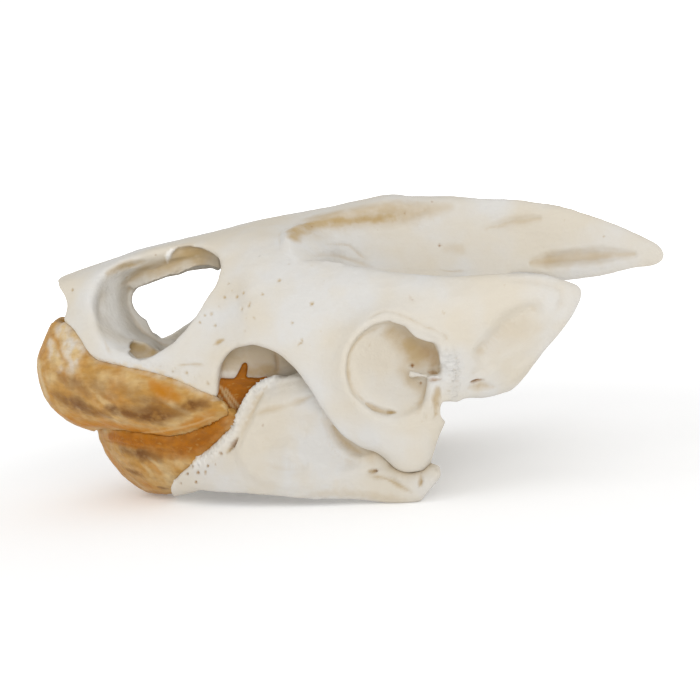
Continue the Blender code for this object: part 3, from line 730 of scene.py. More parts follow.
def bone_material(name, warmth):
    """Dry bone: pale with warm clouds, painted shade in tan hollows, creases and folds, painted shade with
    some stain in dark slits, painted light on shaded walls, fine pores and grain.
    """
    made, tree, shader = new_material(name, bpy.context.scene.skull_finish.bone_gloss, specular=0.4)
    bone, warm, tan, rust, straw = shades("bone", "warm", "tan", "rust", "straw")
    hollow, horny, ropy = (marked(tree, mark) for mark in ("hollow", "horny", "ropy"))
    specks = times(tree, mottle(tree, 0.0011, 0.70, 0.80, 2.0), mottle(tree, 0.008, 0.48, 0.62))
    seam = times(tree, ramped(tree, horny, 0.35, 0.95), mottle(tree, 0.0016, 0.42, 0.6, 4.0))
    colour = covered(tree, bone, [
        (mottle(tree, 0.016, 0.42, 0.62), warm),
        (times(tree, mottle(tree, 0.005, 0.45, 0.75, 5.0), warmth), warm),
        # Painted shade: warm, then tan, where the surface is enclosed or creased, and tan where the strokes
        # laid shade.
        (ramped(tree, hollow, 0.15, 0.5, 0.8), warm),
        (ramped(tree, hollow, 0.45, 0.9, 0.6), tan),
        (ramped(tree, marked(tree, "crease"), 0.2, 1.0, 0.55), tan),
        (times(tree, marked(tree, "tan"), mottle(tree, 0.0030, 0.0, 0.5, 4.0)), tan),
        # Painted shade with some stain in slits, gaps, pits and holes; then painted light on shaded walls and
        # pale bone.
        (marked(tree, "rust"), rust),
        (marked(tree, "pale"), PALE_AND_PAINTED_LIGHT),
        (times(tree, specks, 0.35), tan),
        (times(tree, seam, 0.8), straw),
    ])
    tree.links.new(colour, shader.inputs["Base Color"])
    grain = mottle(tree, 0.0009, 0.2, 0.8, 5.0)
    waves = mottle(tree, 0.004, 0.2, 0.8, 3.0, (0.5, 1.0, 1.4))
    ropes = times(tree, mottle(tree, 0.0013, 0.3, 0.7, 1.0, (0.4, 1.0, 1.6)), ropy)
    layers = [(waves, 0.0002), (grain, 0.00006), (ropes, 0.00035)]
    tree.links.new(bumped(tree, layers), shader.inputs["Normal"])
    return made


def horn_material(name):
    """Beak horn: golden and cloudy, with fine fibres, smoky patches and a clear cutting edge."""
    made, tree, shader = new_material(name, bpy.context.scene.skull_finish.horn_gloss, specular=0.14)
    amber, straw, honey, smoke, deep = shades("amber", "straw", "honey", "smoke", "deep")
    bone, warm = shades("bone", "warm")
    inner, bony = marked(tree, "deep"), marked(tree, "bony")
    clouds = mottle(tree, 0.0034, 0.40, 0.72, 5.0, (0.7, 1.0, 1.2))
    fibres = mottle(tree, 0.0011, 0.42, 0.70, 6.0, (0.45, 1.0, 1.3))
    chalky = times(tree, marked(tree, "chalk"), mottle(tree, 0.0022, 0.38, 0.60, 5.0))
    dark_threads = times(tree, inner, mottle(tree, 0.0013, 0.42, 0.66, 5.0, (0.5, 1.0, 1.3)))
    light_threads = times(tree, inner, mottle(tree, 0.0008, 0.60, 0.70, 4.0, (0.5, 1.0, 1.2)))
    colour = covered(tree, amber, [
        (times(tree, clouds, 0.75), straw),
        (times(tree, mottle(tree, 0.0042, 0.46, 0.72, 4.0), 0.5), honey),
        (times(tree, marked(tree, "straw"), mottle(tree, 0.0026, 0.18, 0.42, 4.0)), straw),
        (times(tree, chalky, 0.8), bone),
        (times(tree, fibres, 0.25), smoke),
        (times(tree, marked(tree, "smoke"), mottle(tree, 0.0022, 0.15, 0.48, 6.0)), smoke),
        (times(tree, marked(tree, "honey"), mottle(tree, 0.0030, 0.1, 0.5, 4.0)), honey),
        # Painted shade: deep horn inside the cheek's notch and below the upper sheath's lip.
        (inner, deep),
        (times(tree, dark_threads, 0.45), smoke),
        (times(tree, light_threads, 0.6), amber),
        # Straw in thin scratches, and a painted highlight along the upper sheath's lip.
        (marked(tree, "scratch"), straw),
        (times(tree, ramped(tree, bony, 0.3, 0.8), mottle(tree, 0.002, 0.30, 0.55, 5.0)), warm),
        (ramped(tree, bony, 0.78, 0.97), warm),
    ])
    tree.links.new(colour, shader.inputs["Base Color"])
    scales = mottle(tree, 0.0013, 0.2, 0.8, 6.0, (0.5, 1.0, 1.4))
    tree.links.new(bumped(tree, [(scales, 0.00016)]), shader.inputs["Normal"])
    return made


def finish_piece(thing, material, slot, *nodes):
    """Give a piece its material, hide the solids that it stands for and hang it from the root."""
    thing.data.materials.clear()
    thing.data.materials.append(material)
    thing.data.shade_smooth()
    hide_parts(*nodes)
    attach(thing, "root")


# Pieces

def plate(outline, middle, half):
    """Return a plate that the eye sees with an outline, its middle and half thickness along Y.

    A corner may give a third value: its own distance before or behind the middle."""
    count = len(outline)
    sheets = [[tuple(sighted(x, z, middle + sum(more) + side * half)) for x, z, *more in outline]
              for side in (-1.0, 1.0)]
    faces = [tuple(range(count)), tuple(range(2 * count - 1, count - 1, -1))]
    faces += [(k, k + count, (k + 1) % count + count, (k + 1) % count) for k in range(count)]
    return np.array(sheets[0] + sheets[1]), faces


def small_walls():
    """Return the walls between the eye sockets, under the brow, in the temple's corner and in the notch."""
    septum = plate([
        (37.5, 42.4), (35.6, 43.2), (33.4, 43.0), (31.9, 42.4), (30.2, 41.7), (28.0, 41.3), (25.1, 40.2),
        (22.4, 39.3), (21.5, 38.1), (21.3, 36.8), (21.8, 35.3), (22.8, 34.1), (24.1, 33.2), (24.3, 32.5),
        (25.1, 30.8), (26.5, 29.9), (29.5, 29.5), (29.5, 28.2), (24.0, 27.5), (18.6, 31.0), (17.6, 36.0),
        (18.4, 40.5), (22.5, 43.6), (29.0, 46.4), (38.5, 49.5), (39.5, 45.0),
    ], 0.0, 0.7)
    brow_band = plate([
        (27.8, 44.8, 1.0), (29.7, 46.9), (32.3, 47.4), (35.1, 46.9), (37.8, 45.6), (38.0, 42.8), (35.6, 43.5),
        (33.3, 43.3), (31.9, 42.8), (30.2, 42.0), (28.1, 41.6, 0.8), (25.1, 40.5, 2.6), (23.1, 39.6, 4.0),
        (21.6, 38.9, 5.2), (20.5, 40.0, 5.4), (22.5, 42.0, 4.4), (25.2, 43.7, 2.6),
    ], -6.6, 0.7)
    temple_corner = plate([
        (49.4, 49.8, -4.4), (50.1, 47.1, -6.6), (51.6, 44.8, -8.0), (54.9, 43.0, -8.8), (61.5, 41.5, 3.4),
        (62.3, 46.3, 4.8), (59.3, 50.8, 4.8), (52.7, 51.2, 1.0),
    ], -9.3, 4.5)
    cheek_wall = plate([
        (33.2, 23.4), (34.8, 20.2), (45.5, 19.2), (52.6, 21.1, -1.0), (58.6, 23.4, -2.0), (59.8, 27.2, -2.4),
        (54.9, 31.0, -2.4), (47.1, 32.9, -1.6), (39.2, 32.1, -0.8), (34.7, 28.7),
    ], -17.2, 0.9)
    return [septum, *pair(brow_band), *pair(temple_corner), *pair(cheek_wall)]


def ear_shelf():
    """Return the shelf that roofs the rear of the ear, on both sides."""
    return pair(plate([
        (69.8, 32.9), (71.2, 32.4), (72.3, 32.1), (73.2, 31.1), (74.3, 30.0), (76.4, 29.2), (78.5, 28.8),
        (78.6, 27.2), (78.8, 25.2), (80.0, 24.4), (81.3, 24.6), (81.5, 28.0), (80.3, 30.6), (78.1, 33.1),
        (75.1, 34.6), (72.1, 35.1), (69.5, 34.6),
    ], -33.2, 0.75))


# The ear: its disc, which the floor fills and tucks under, and how deep the floor lies behind its face

EAR_CENTRE = (69.4, 28.7)
EAR_RADIUS = 8.1
EAR_TUCK = 1.12
EAR_FACE = -34.1
EAR_BACK = -24.5
EDGE_DEPTH = 0.35
BOWL_DEPTH = 4.4
BOWL_CENTRE = (0.4, 0.2)
BOWL_SPREAD = 1.6
BOWL_CURVE = 1.3


def ear_depth(across, up):
    """Return how deep the ear's floor lies at a place of its disc, given from -1 to 1 each way."""
    step = EDGE_DEPTH + max(0.0, -across) + max(0.0, up)
    away = ((across - BOWL_CENTRE[0]) ** 2 + (up - BOWL_CENTRE[1]) ** 2) / BOWL_SPREAD
    return step + BOWL_DEPTH * max(0.0, 1.0 - away) ** BOWL_CURVE


def ear_floor(rings=14, count=48):
    """Return the floor of the ear, which slopes in from below and in front, on both sides."""
    points = []
    for row in range(rings + 1):
        for k in range(count if row else 1):
            angle = 2 * math.pi * k / count
            across, up = (EAR_TUCK * row / rings * turn for turn in (math.cos(angle), math.sin(angle)))
            x, z = EAR_CENTRE[0] + EAR_RADIUS * across, EAR_CENTRE[1] + EAR_RADIUS * up
            points.append((x, EAR_FACE + ear_depth(across, up), z))
    points += [(x, EAR_BACK, z) for x, _, z in points[-count:]]
    index = np.arange(1, len(points)).reshape(rings + 1, count)
    faces = [(0, index[0, k], index[0, (k + 1) % count]) for k in range(count)]
    for inner, outer in zip(index[:-1], index[1:], strict=True):
        faces += [(outer[k], outer[(k + 1) % count], inner[(k + 1) % count], inner[k]) for k in range(count)]
    faces.append(tuple(index[-1, ::-1]))
    return pair((np.array(points), faces))


def ear_bones():
    """Return the rod of the middle ear and the upright pillar behind it, on both sides."""
    rod_line = [(73.1, 23.1, -31.2), (74.4, 23.0, -31.5), (76.4, 22.8, -31.9), (78.9, 22.9, -32.4)]
    pillar_line = [
        (77.8, 22.7, -32.2), (77.7, 20.8, -32.6), (77.2, 18.1, -32.7), (76.7, 15.9, -32.3),
        (75.7, 13.4, -31.6),
    ]
    rod = tube([sighted(*place) for place in rod_line], [0.78, 0.5, 0.3, 0.3])
    pillar = tube([sighted(*place) for place in pillar_line], [1.3, 1.25, 1.25, 1.45, 1.9])
    return [*pair(rod), *pair(pillar)]


def cutters():
    """Return what is cut away round the sockets, the pillar of the ear and the notch below the wing."""
    upper_lip = plate([
        (26.3, 43.0), (28.2, 45.0), (29.7, 46.7), (32.3, 47.0), (34.7, 46.6), (36.5, 45.8), (37.8, 44.7),
        (37.6, 42.6), (35.0, 42.6), (32.2, 41.9), (29.6, 40.7), (26.6, 40.7),
    ], -11.4, 4.0)
    lower_lip = plate([
        (20.3, 27.2), (21.4, 26.0), (23.1, 25.7), (25.3, 26.5), (27.4, 27.9), (28.9, 29.3), (30.4, 31.2),
        (28.8, 32.3), (24.6, 30.4), (22.7, 29.1),
    ], -18.2, 5.7)
    canal = plate([
        (21.1, 29.1), (22.6, 29.3), (24.6, 28.4), (26.3, 27.5), (24.8, 26.3), (22.1, 25.9), (20.5, 27.6),
    ], -10.7, 2.2)
    pillar_side = plate([
        (75.9, 22.0), (78.9, 22.0), (78.9, 18.0), (78.8, 17.8), (78.7, 14.9), (78.0, 14.2), (75.9, 14.2),
    ], -33.4, 2.6)
    notch = plate([
        (79.2, 17.9), (78.9, 16.4), (79.0, 15.0), (80.0, 13.9), (81.2, 12.3), (85.5, 13.4), (85.5, 17.6),
        (82.6, 17.7), (81.0, 17.9),
    ], -30.0, 9.0)
    return [cutter for piece in (upper_lip, lower_lip, canal, pillar_side, notch) for cutter in pair(piece)]


def shape_ear(clay):
    """Work the drum cavity: a crease round it, a shelf above, a slit and pits in its floor."""
    clay.stroke([
        (60.1, 20.8), (59.8, 24.6), (60.7, 28.5), (63.3, 31.7), (67.2, 33.8), (71.0, 34.6),
    ], 2.6, -0.2)
    clay.refresh()
    clay.stroke([(69.7, 34.0), (72.5, 32.9), (75.8, 31.2), (79.4, 29.9)], 1.1, 0.3)
    # The tan marks of the ear are painted shade: in its creases and slit, beside the pillar and under the
    # shelf.
    clay.stroke([
        (65.4, 33.6), (67.6, 34.7), (70.0, 34.8), (72.5, 33.7), (75.9, 32.0), (79.2, 30.7), (80.5, 29.3),
    ], 0.45, -0.22, tan=0.15)
    clay.stroke([
        (63.1, 18.5), (62.0, 21.2), (61.6, 24.6), (62.1, 27.4), (64.2, 30.0), (67.8, 32.0),
    ], 0.5, -0.15, tan=0.15)
    clay.stroke([(65.1, 17.4), (66.9, 16.5), (68.8, 16.0), (70.5, 15.9)], 0.75, -0.6, tan=0.1)
    clay.stroke([(69.1, 16.0), (70.5, 15.9)], 0.7, -0.4, tan=0.95)
    clay.stroke([(78.4, 20.4), (78.2, 18.1), (78.2, 15.5)], 1.4, -0.4, tan=0.6)
    # The dark orange in the pits and in the gaps under the shelf is painted shade, with some stain.
    clay.pits("rust", (73.7, 24.7, 0.42, 0.5, 1.0), (75.2, 21.4, 0.34, 0.3, 0.8))
    clay.stroke([(74.9, 23.9), (77.0, 24.3), (79.0, 24.5)], 0.6, 0.3)
    clay.stroke([(76.6, 23.4), (78.3, 23.3)], 0.5, -0.4, rust=0.6)
    clay.stroke([(76.4, 21.9), (79.1, 22.1)], 0.5, -0.45, rust=0.6)
    # Painted shadows beside the pillar and below the rod, and painted shade under the shelf.
    clay.paint(
        "tan",
        (0.4, 1.0, (75.8, 20.0), (75.4, 17.8), (74.8, 15.5)),
        (1.0, 5.2, (70.2, 31.0), (72.3, 29.3), (74.7, 27.2), (77.3, 26.7), (77.7, 25.3)),
        (1.0, 3.0, (75.8, 28.0), (77.3, 26.5), (77.7, 25.0)),
        (0.55, 2.6, (71.7, 24.2), (73.2, 22.3), (75.9, 19.7)),
    )
    clay.paint("rust", (0.25, 3.0, (75.8, 28.0), (77.3, 26.5), (77.7, 25.0)))
    clay.stroke([(73.2, 37.8), (73.4, 37.2), (74.2, 36.6)], 0.26, -0.12, rust=0.3)
    clay.stroke([
        (62.6, 18.7), (64.8, 16.1), (67.8, 13.9), (70.6, 13.0), (73.1, 12.6), (75.2, 13.6),
    ], 1.4, 0.2)


def shape_squamosal(clay):
    """Work the wing behind the ear: dished, thin-rimmed, with a rough seam and a slit below."""
    clay.stroke([(87.4, 27.2), (91.0, 30.4), (93.7, 32.9), (96.0, 34.7)], 6.5, -1.9)
    # Painted shade across the dish.
    clay.paint("tan", (0.17, 4.0, (87.1, 27.2), (90.0, 29.1), (93.8, 30.6), (97.1, 31.7)))
    clay.stroke([(85.6, 23.1), (88.6, 25.0)], 3.4, -0.5)
    clay.refresh()
    clay.stroke([
        (103.4, 37.7), (102.7, 34.7), (100.5, 31.0), (97.7, 27.6), (94.6, 24.4), (92.0, 21.6),
    ], 1.5, 0.35)
    # Painted shade in the groove under the rim.
    clay.stroke([
        (91.8, 40.8), (95.5, 40.6), (98.9, 40.0), (101.1, 39.1), (101.6, 37.0), (100.4, 34.4),
    ], 0.9, -0.25, tan=0.12)
    clay.pull((74.4, 55.0), reach=3.6, shift=(0.0, 0.0, -0.4))
    clay.stroke([
        (51.6, 48.9), (52.7, 46.0), (58.3, 44.0), (65.2, 43.3), (73.2, 42.3), (80.1, 42.0), (87.3, 42.2),
    ], 0.9, 0.2)
    clay.stroke([(81.1, 28.5), (81.5, 24.2), (81.3, 19.7)], 2.4, 0.12)
    clay.grit([(79.4, 29.5), (81.2, 24.4), (81.2, 18.8)], 2.4, height=0.3, grain=0.7)
    seam = [(80.5, 27.2), (81.3, 25.3), (81.1, 22.3), (80.6, 18.5)]
    clay.rope(seam, reach=1.5, pitch=1.0, width=0.6, height=0.34)
    clay.paint("ropy", (1.0, 2.4, (80.4, 27.4), (81.4, 23.0), (81.2, 18.2)))
    # The slit's dark orange and the tan below it are painted shade, with some stain.
    clay.stroke([(84.5, 21.3), (85.6, 21.7), (87.1, 22.0)], 0.5, -0.9, rust=0.9)
    clay.stroke([(84.3, 20.5), (86.4, 20.7), (89.0, 20.5)], 1.3, -0.5, tan=0.5)


def shape_temple(clay):
    """Work the temple and the crest: a fold under the roof in painted shade, wrinkles, ridges and a lip."""
    # The tan marks of the temple and crest are painted shade: in the fold under the roof's overhang, on the
    # roof's side above it, in wrinkles, grooves and pits.
    clay.stroke([
        (52.0, 49.5), (55.7, 50.6), (61.4, 51.5), (67.2, 52.0), (71.6, 52.8), (75.9, 54.1),
    ], 2.6, -0.9, tan=0.25)
    clay.soften([(51.1, 50.2), (51.4, 49.3), (52.0, 48.0), (53.1, 46.7), (54.4, 45.8)], 3.2, rounds=40)
    clay.refresh()
    clay.soften([
        (52.7, 47.1), (54.9, 48.6), (57.4, 50.0), (60.1, 49.7), (61.1, 46.7), (59.8, 44.8), (56.4, 45.6),
    ], 4.5, rounds=36)
    clay.refresh()
    # Painted shade: the dark core of the fold.
    clay.mark_even_band([
        (51.3, 49.7), (52.7, 50.6), (55.0, 51.2), (58.3, 51.7), (62.0, 52.0), (65.7, 52.2), (70.0, 52.3),
    ], 1.5, tan=1.0)
    clay.mark_even_band([(51.6, 48.6), (52.3, 49.5), (53.8, 50.4), (56.4, 51.1), (60.1, 51.5)], 1.8, tan=0.9)
    # Painted shade on the roof's side above the fold.
    clay.stroke([
        (52.7, 51.2), (55.5, 52.1), (59.2, 52.5), (63.9, 53.0), (70.0, 53.4), (75.0, 53.4), (80.5, 54.3),
    ], 3.2, 0.0, wrap=True, tan=0.65)
    clay.stroke([(55.2, 45.2), (57.4, 45.4), (59.8, 45.2), (63.2, 44.2), (66.3, 43.1)], 0.7, -0.2, tan=0.22)
    clay.stroke([(57.5, 47.5), (61.4, 47.3), (62.6, 46.5), (63.5, 45.8), (65.0, 44.5)], 0.7, -0.2, tan=0.15)
    clay.stroke([(56.1, 46.7), (58.7, 46.6), (60.9, 46.2)], 1.0, 0.2)
    clay.stroke([(80.2, 46.5), (82.6, 46.5)], 3.2, -0.15, tan=0.3)
    clay.stroke([(86.7, 51.1), (89.8, 52.0), (93.5, 52.7), (97.0, 53.2), (100.9, 53.8)], 1.2, 0.35)
    clay.stroke([(87.2, 50.2), (90.9, 51.3), (94.3, 51.9), (97.2, 52.1)], 1.5, -0.4, tan=0.2)
    clay.stroke([(93.4, 45.2), (96.4, 45.8), (99.5, 46.2), (104.6, 46.9)], 1.1, 0.28)
    clay.stroke([
        (95.9, 43.9), (98.5, 44.2), (101.4, 44.6), (105.1, 44.9), (109.8, 45.3), (114.8, 45.5),
    ], 2.3, -0.95, tan=0.4)
    clay.stroke([(97.4, 42.8), (101.1, 43.0), (106.6, 43.5), (112.2, 44.0)], 1.3, 0.35)
    clay.paint(
        "tan",
        (0.2, 1.6, (53.8, 48.2), (56.1, 48.9), (58.7, 48.9)),
        (0.4, 0.8, (78.7, 42.6), (81.0, 42.3), (83.0, 42.5)),
        (0.55, 1.4, (95.9, 43.9), (98.5, 44.1), (101.4, 44.5), (104.8, 44.8)),
    )
    # Painted shade in the pits, with some stain in the dark orange ones.
    clay.pits("tan", (109.2, 48.8, 0.34, 0.2, 0.5), (59.3, 51.5, 0.3, 0.2, 0.9))
    clay.pits("rust", (78.7, 47.2, 0.36, 0.3, 0.7), (77.2, 55.3, 0.34, 0.2, 0.5),
              (54.9, 50.7, 0.32, 0.25, 0.6), (72.1, 53.1, 0.3, 0.2, 0.4))


def shape_orbit(clay):
    """Work the eye socket: a soft fold in its front wall, a fold above in painted shade, walls lightened by
    painted light, and pits.
    """
    clay.stroke([(16.0, 38.9), (15.4, 35.4), (15.9, 31.7), (16.7, 28.5), (17.7, 26.8)], 1.6, -0.22)
    # Painted shade in the fold under the brow.
    clay.stroke([(17.1, 42.0), (19.2, 42.9), (21.6, 43.6), (23.5, 44.1)], 1.7, -0.3, tan=0.8)
    # A raised pale flake as a painted highlight under the brow, and a pale painted spot by the canal.
    clay.stroke([(29.7, 46.8), (28.3, 45.6), (28.1, 43.9)], 0.6, 0.3, pale=1.0)
    clay.stroke([(21.2, 29.4)], 0.35, 0.2, pale=1.0)
    # Painted shade in a groove and in the canal.
    clay.stroke([(8.0, 31.9), (9.3, 31.6), (11.0, 31.4)], 0.5, -0.15, tan=0.4)
    clay.mark_even_band([(21.6, 28.2), (23.3, 27.8), (25.1, 27.2)], 1.6, tan=1.0)
    # Painted light on the front wall, which lies in shade.
    clay.paint("pale", (0.95, 6.5, (17.7, 40.0), (17.6, 35.9), (18.7, 32.1), (20.1, 30.6)))
    # Painted shade under the roof and in the band below the brow, and in a crease low in the wall.
    clay.paint(
        "tan",
        (0.35, 0.7, (16.2, 29.5), (16.7, 27.8), (17.4, 26.7)),
        (1.0, 0.9, (19.4, 42.8), (21.3, 43.3), (22.6, 43.6)),
        (0.8, 2.6, (19.9, 40.2), (22.2, 42.0), (24.8, 43.3), (27.8, 44.1)),
        (1.0, 3.4, (24.8, 42.2), (28.5, 44.1), (32.3, 45.4), (35.2, 44.8), (37.3, 43.7)),
        (1.0, 2.0, (28.9, 45.6), (32.3, 46.3), (35.0, 45.8), (36.9, 44.8)),
    )
    # Painted shade in the pits, with some stain in the dark orange one.
    clay.pits("tan", (10.2, 38.9, 0.42, 0.3, 0.8), (20.4, 41.2, 0.3, 0.2, 0.8))
    clay.pits("rust", (25.9, 45.4, 0.25, 0.2, 0.5))


CHEEK_PITS = (
    (39.4, 40.1), (38.6, 37.5), (37.5, 35.7), (36.8, 32.2), (34.0, 32.8), (34.9, 34.2), (36.1, 34.4),
    (42.3, 31.2), (42.1, 38.3), (43.1, 35.9), (50.5, 43.7), (48.8, 40.7), (45.6, 38.1), (43.3, 36.4),
    (41.8, 35.3), (42.6, 33.4), (54.9, 36.3), (51.2, 32.7), (44.1, 33.7), (40.9, 37.6), (40.0, 38.9),
    (53.0, 29.5),
)


def shape_cheek(clay):
    """Pit the bar behind the eye and roughen the edge that the horn grows from."""
    # The tan in the pits and grooves of the cheek is painted shade; a faint wide tan patch lies among the
    # pits.
    for step, place in enumerate(CHEEK_PITS):
        size, strength = 0.34 + 0.14 * math.sin(step * 2.4), 0.75 + 0.25 * math.sin(step * 1.7)
        clay.pits("tan", (*place, size, 0.25, strength))
    clay.pits("tan", (31.4, 23.3, 0.45, 0.25, 0.6), (28.8, 23.6, 0.35, 0.2, 0.4),
              (35.3, 21.3, 0.45, 0.25, 0.5))
    clay.paint("tan", (0.12, 4.5, (38.1, 36.6), (40.8, 39.2), (42.6, 37.0)))
    clay.stroke([(36.4, 28.4), (37.3, 29.1), (38.6, 29.7)], 0.5, -0.3, tan=0.9)
    clay.stroke([(52.3, 28.5), (53.2, 29.3)], 0.5, -0.25, tan=0.6)
    clay.stroke([(29.9, 24.7), (32.4, 24.9), (34.9, 24.8)], 0.45, -0.2, tan=0.35)
    horn_line = [(14.0, 26.5), (20.0, 25.4), (27.0, 24.2), (33.0, 22.6), (37.0, 20.0)]
    clay.grit(horn_line, 1.6, height=0.3, grain=0.6)


# The room inside the notch of the cheek, from corner to corner, and where its shade begins

NOTCH_LOW = (38.3, 15.0, 19.0)
NOTCH_HIGH = (62.0, 20.6, 33.0)
NOTCH_SHADE = 24.5


def shape_notch(clay):
    """Paint shade on the wall inside the notch of the cheek, deeper towards its top, and slit it."""
    spots = np.abs(clay.unworked)
    picks = np.flatnonzero(((spots > NOTCH_LOW) & (spots < NOTCH_HIGH)).all(axis=1))
    clay.mark("tan", picks, 0.2 + 0.45 * np.clip((spots[picks, 2] - NOTCH_SHADE) / 4.0, 0.0, 1.0))
    # The slit's dark orange and the band of tan and dark orange are painted shade, with some stain; the pale
    # band is painted light on the shaded wall.
    clay.stroke([(47.8, 27.4), (48.3, 25.5), (48.4, 23.1)], 0.5, -0.25, rust=0.4)
    clay.mark_even_band([(43.6, 23.4), (45.5, 24.0), (47.8, 23.4)], 2.2, tan=0.9, rust=0.2)
    clay.mark_even_band([(37.5, 23.0), (39.0, 23.0), (40.5, 23.0)], 0.9, pale=0.5)


def sculpt_cranium(clay):
    """Work all the forms of the cranium and mark its hollows."""
    shape_ear(clay)
    shape_squamosal(clay)
    shape_temple(clay)
    shape_orbit(clay)
    shape_cheek(clay)
    shape_notch(clay)
    clay.refresh()
    horn = node_tree("upper_beak")
    clay.marks["horny"] = clay.closeness(horn, reach=2.4)
    clay.fill_seam(horn, reach=1.1, height=0.2)
    clay.hollow_marks()
    clay.crease_marks()
    clay.unevenness(bpy.context.scene.skull_shape.unevenness / MM, grain=2.6)


class SKULL_OT_cranium(bpy.types.Operator):
    """Make the cranium as one bone"""

    bl_idname = "skull.cranium"
    bl_label = "Cranium"

    def execute(self, context):
        shape = context.scene.skull_shape
        cranium = node_copy("cranium", CRANIUM_NODES)
        fuse(cranium, shape.voxel, shape.closing)
        relax(cranium, shape.smoothing)
        combine(cranium, cutters(), "DIFFERENCE")
        combine(cranium, [*ear_floor(), *ear_shelf(), *ear_bones(), *small_walls()], "UNION")
        voxel_skin(cranium, shape.voxel)
        relax(cranium, rounds=2)
        keep_largest(cranium)
        clay = Clay(cranium)
        sculpt_cranium(clay)
        clay.write()
        thin_out(cranium, CRANIUM_TRIANGLES)
        finish_piece(cranium, bone_material("cranium_bone", warmth=0.5), "cranium_bone", *CRANIUM_NODES)
        return {"FINISHED"}


JAW_PITS = (
    (32.3, 5.4), (34.2, 7.4), (36.6, 6.1), (34.7, 4.3), (37.7, 8.0), (30.0, 2.3), (32.9, 2.5), (33.3, 4.3),
    (35.2, 5.6), (31.3, 4.0),
)


def sculpt_jaw(clay):
    """Work the forms of the lower jaw: a dished side, a rough rim, a slot, pits and the joint."""
    for place in ((37.8, 2.3), (42.2, 1.9), (46.9, 1.5), (51.6, 1.2), (56.0, 0.8)):
        clay.pull(place, reach=7.0, shift=(0.0, 0.0, -0.42))
    clay.stroke([(46.6, 10.5), (50.7, 12.4), (56.0, 10.5), (61.1, 7.5)], 7.0, -1.5)
    clay.stroke([(45.4, 8.2), (47.9, 6.3), (52.6, 6.0)], 4.0, -0.6)
    clay.refresh()
    clay.stroke([
        (42.5, 17.8), (41.9, 14.3), (41.5, 10.2), (42.2, 6.5), (44.5, 4.2), (49.5, 2.7), (56.7, 2.7),
        (63.9, 4.8),
    ], 2.2, 0.5)
    # The tan marks of the jaw are painted shade: in its grooves, slot and pits, in the recess under the
    # cheek's edge, along its lower edge and next to the joint.
    clay.stroke([(44.0, 15.3), (46.2, 16.1), (49.6, 16.9), (53.0, 18.1), (55.6, 19.3)], 0.7, -0.25, tan=0.3)
    clay.stroke([(45.5, 17.4), (49.6, 18.1), (54.1, 20.0)], 2.4, 0.3)
    rim = [
        (28.4, 0.6), (29.4, 4.4), (31.8, 6.5), (34.7, 7.1), (37.2, 9.0), (39.1, 11.0), (40.4, 12.6),
        (41.4, 14.5), (42.2, 16.2), (43.0, 18.1), (43.8, 19.6), (45.1, 20.9), (46.6, 21.8), (49.4, 22.2),
        (52.4, 22.3),
    ]
    clay.stroke(rim, 1.5, 0.35, pale=0.5)
    clay.rope(rim[2:13], reach=0.9, pitch=0.85, width=0.45, height=0.5)
    clay.grit(rim, 1.8, height=0.35, grain=0.5)
    clay.stroke([
        (45.5, 19.3), (44.0, 17.4), (43.2, 15.3), (42.4, 13.4), (41.7, 11.3), (41.3, 9.4),
    ], 1.5, -0.55, tan=0.12)
    # Painted shade, with some stain, in the slot and the pits.
    clay.stroke([(39.2, 8.6), (40.0, 9.6), (40.9, 10.7)], 0.7, -1.3, rust=0.75)
    clay.stroke([(38.8, 8.1), (39.6, 9.0)], 0.8, -0.3, tan=0.6)
    for step, place in enumerate(JAW_PITS):
        clay.stroke([place], 0.34 + 0.12 * math.sin(step * 2.1), -0.4, rust=0.7, tan=0.9)
    clay.pits("rust", (45.6, 13.3, 0.28, 0.15, 0.4))
    clay.stroke([(65.4, 4.5), (66.9, 4.6)], 0.7, -0.9, tan=0.6)
    clay.stroke([(66.3, 4.7), (67.1, 4.6)], 0.5, -0.3, rust=0.7)
    clay.stroke([(67.7, 4.8), (70.3, 3.5), (72.9, 2.0)], 1.0, 0.5)
    clay.stroke([(65.2, 3.9), (69.1, 3.0), (71.4, 1.7), (73.7, 0.4)], 0.6, -0.35, tan=0.45)
    clay.stroke([(75.4, 3.7), (75.2, 1.7)], 0.75, -0.7, tan=0.7)
    clay.stroke([(76.7, 6.3), (77.6, 5.8), (78.6, 4.8)], 0.8, -0.4, tan=0.25)
    clay.stroke([(76.2, 1.0), (77.5, 2.9), (78.6, 4.2)], 1.0, 0.25)
    # Painted shade in the recess under the cheek's edge.
    clay.stroke([(59.0, 12.8), (59.9, 11.1), (61.6, 9.4), (63.9, 8.4), (65.4, 7.9)], 2.0, -1.0, tan=0.5)
    clay.mark_even_band([(58.8, 13.6), (59.9, 11.7), (61.8, 10.0), (64.3, 8.8), (66.1, 7.9)], 2.4, tan=0.45)
    clay.stroke([(57.6, 16.6), (57.8, 13.6), (58.6, 10.9), (60.3, 8.8), (62.6, 7.5), (65.0, 7.0)], 0.9, 0.3)
    # Painted shade along the lower edge.
    clay.paint("tan", (0.3, 1.0, (52.6, -0.4), (60.1, 0.4), (67.7, -0.4), (72.4, -1.0)))
    clay.refresh()
    # Painted shade in the joint, next to the cranium.
    socket = piece_tree("cranium")
    clay.marks["tan"] = np.maximum(clay.marks["tan"], clay.closeness(socket, reach=1.6))
    clay.lean_on(socket, reach=1.6, overlap=0.03)
    clay.marks["horny"] = clay.closeness(node_tree("lower_beak"), reach=1.6)
    clay.hollow_marks()
    clay.crease_marks()
    clay.unevenness(bpy.context.scene.skull_shape.unevenness / MM, grain=2.4)


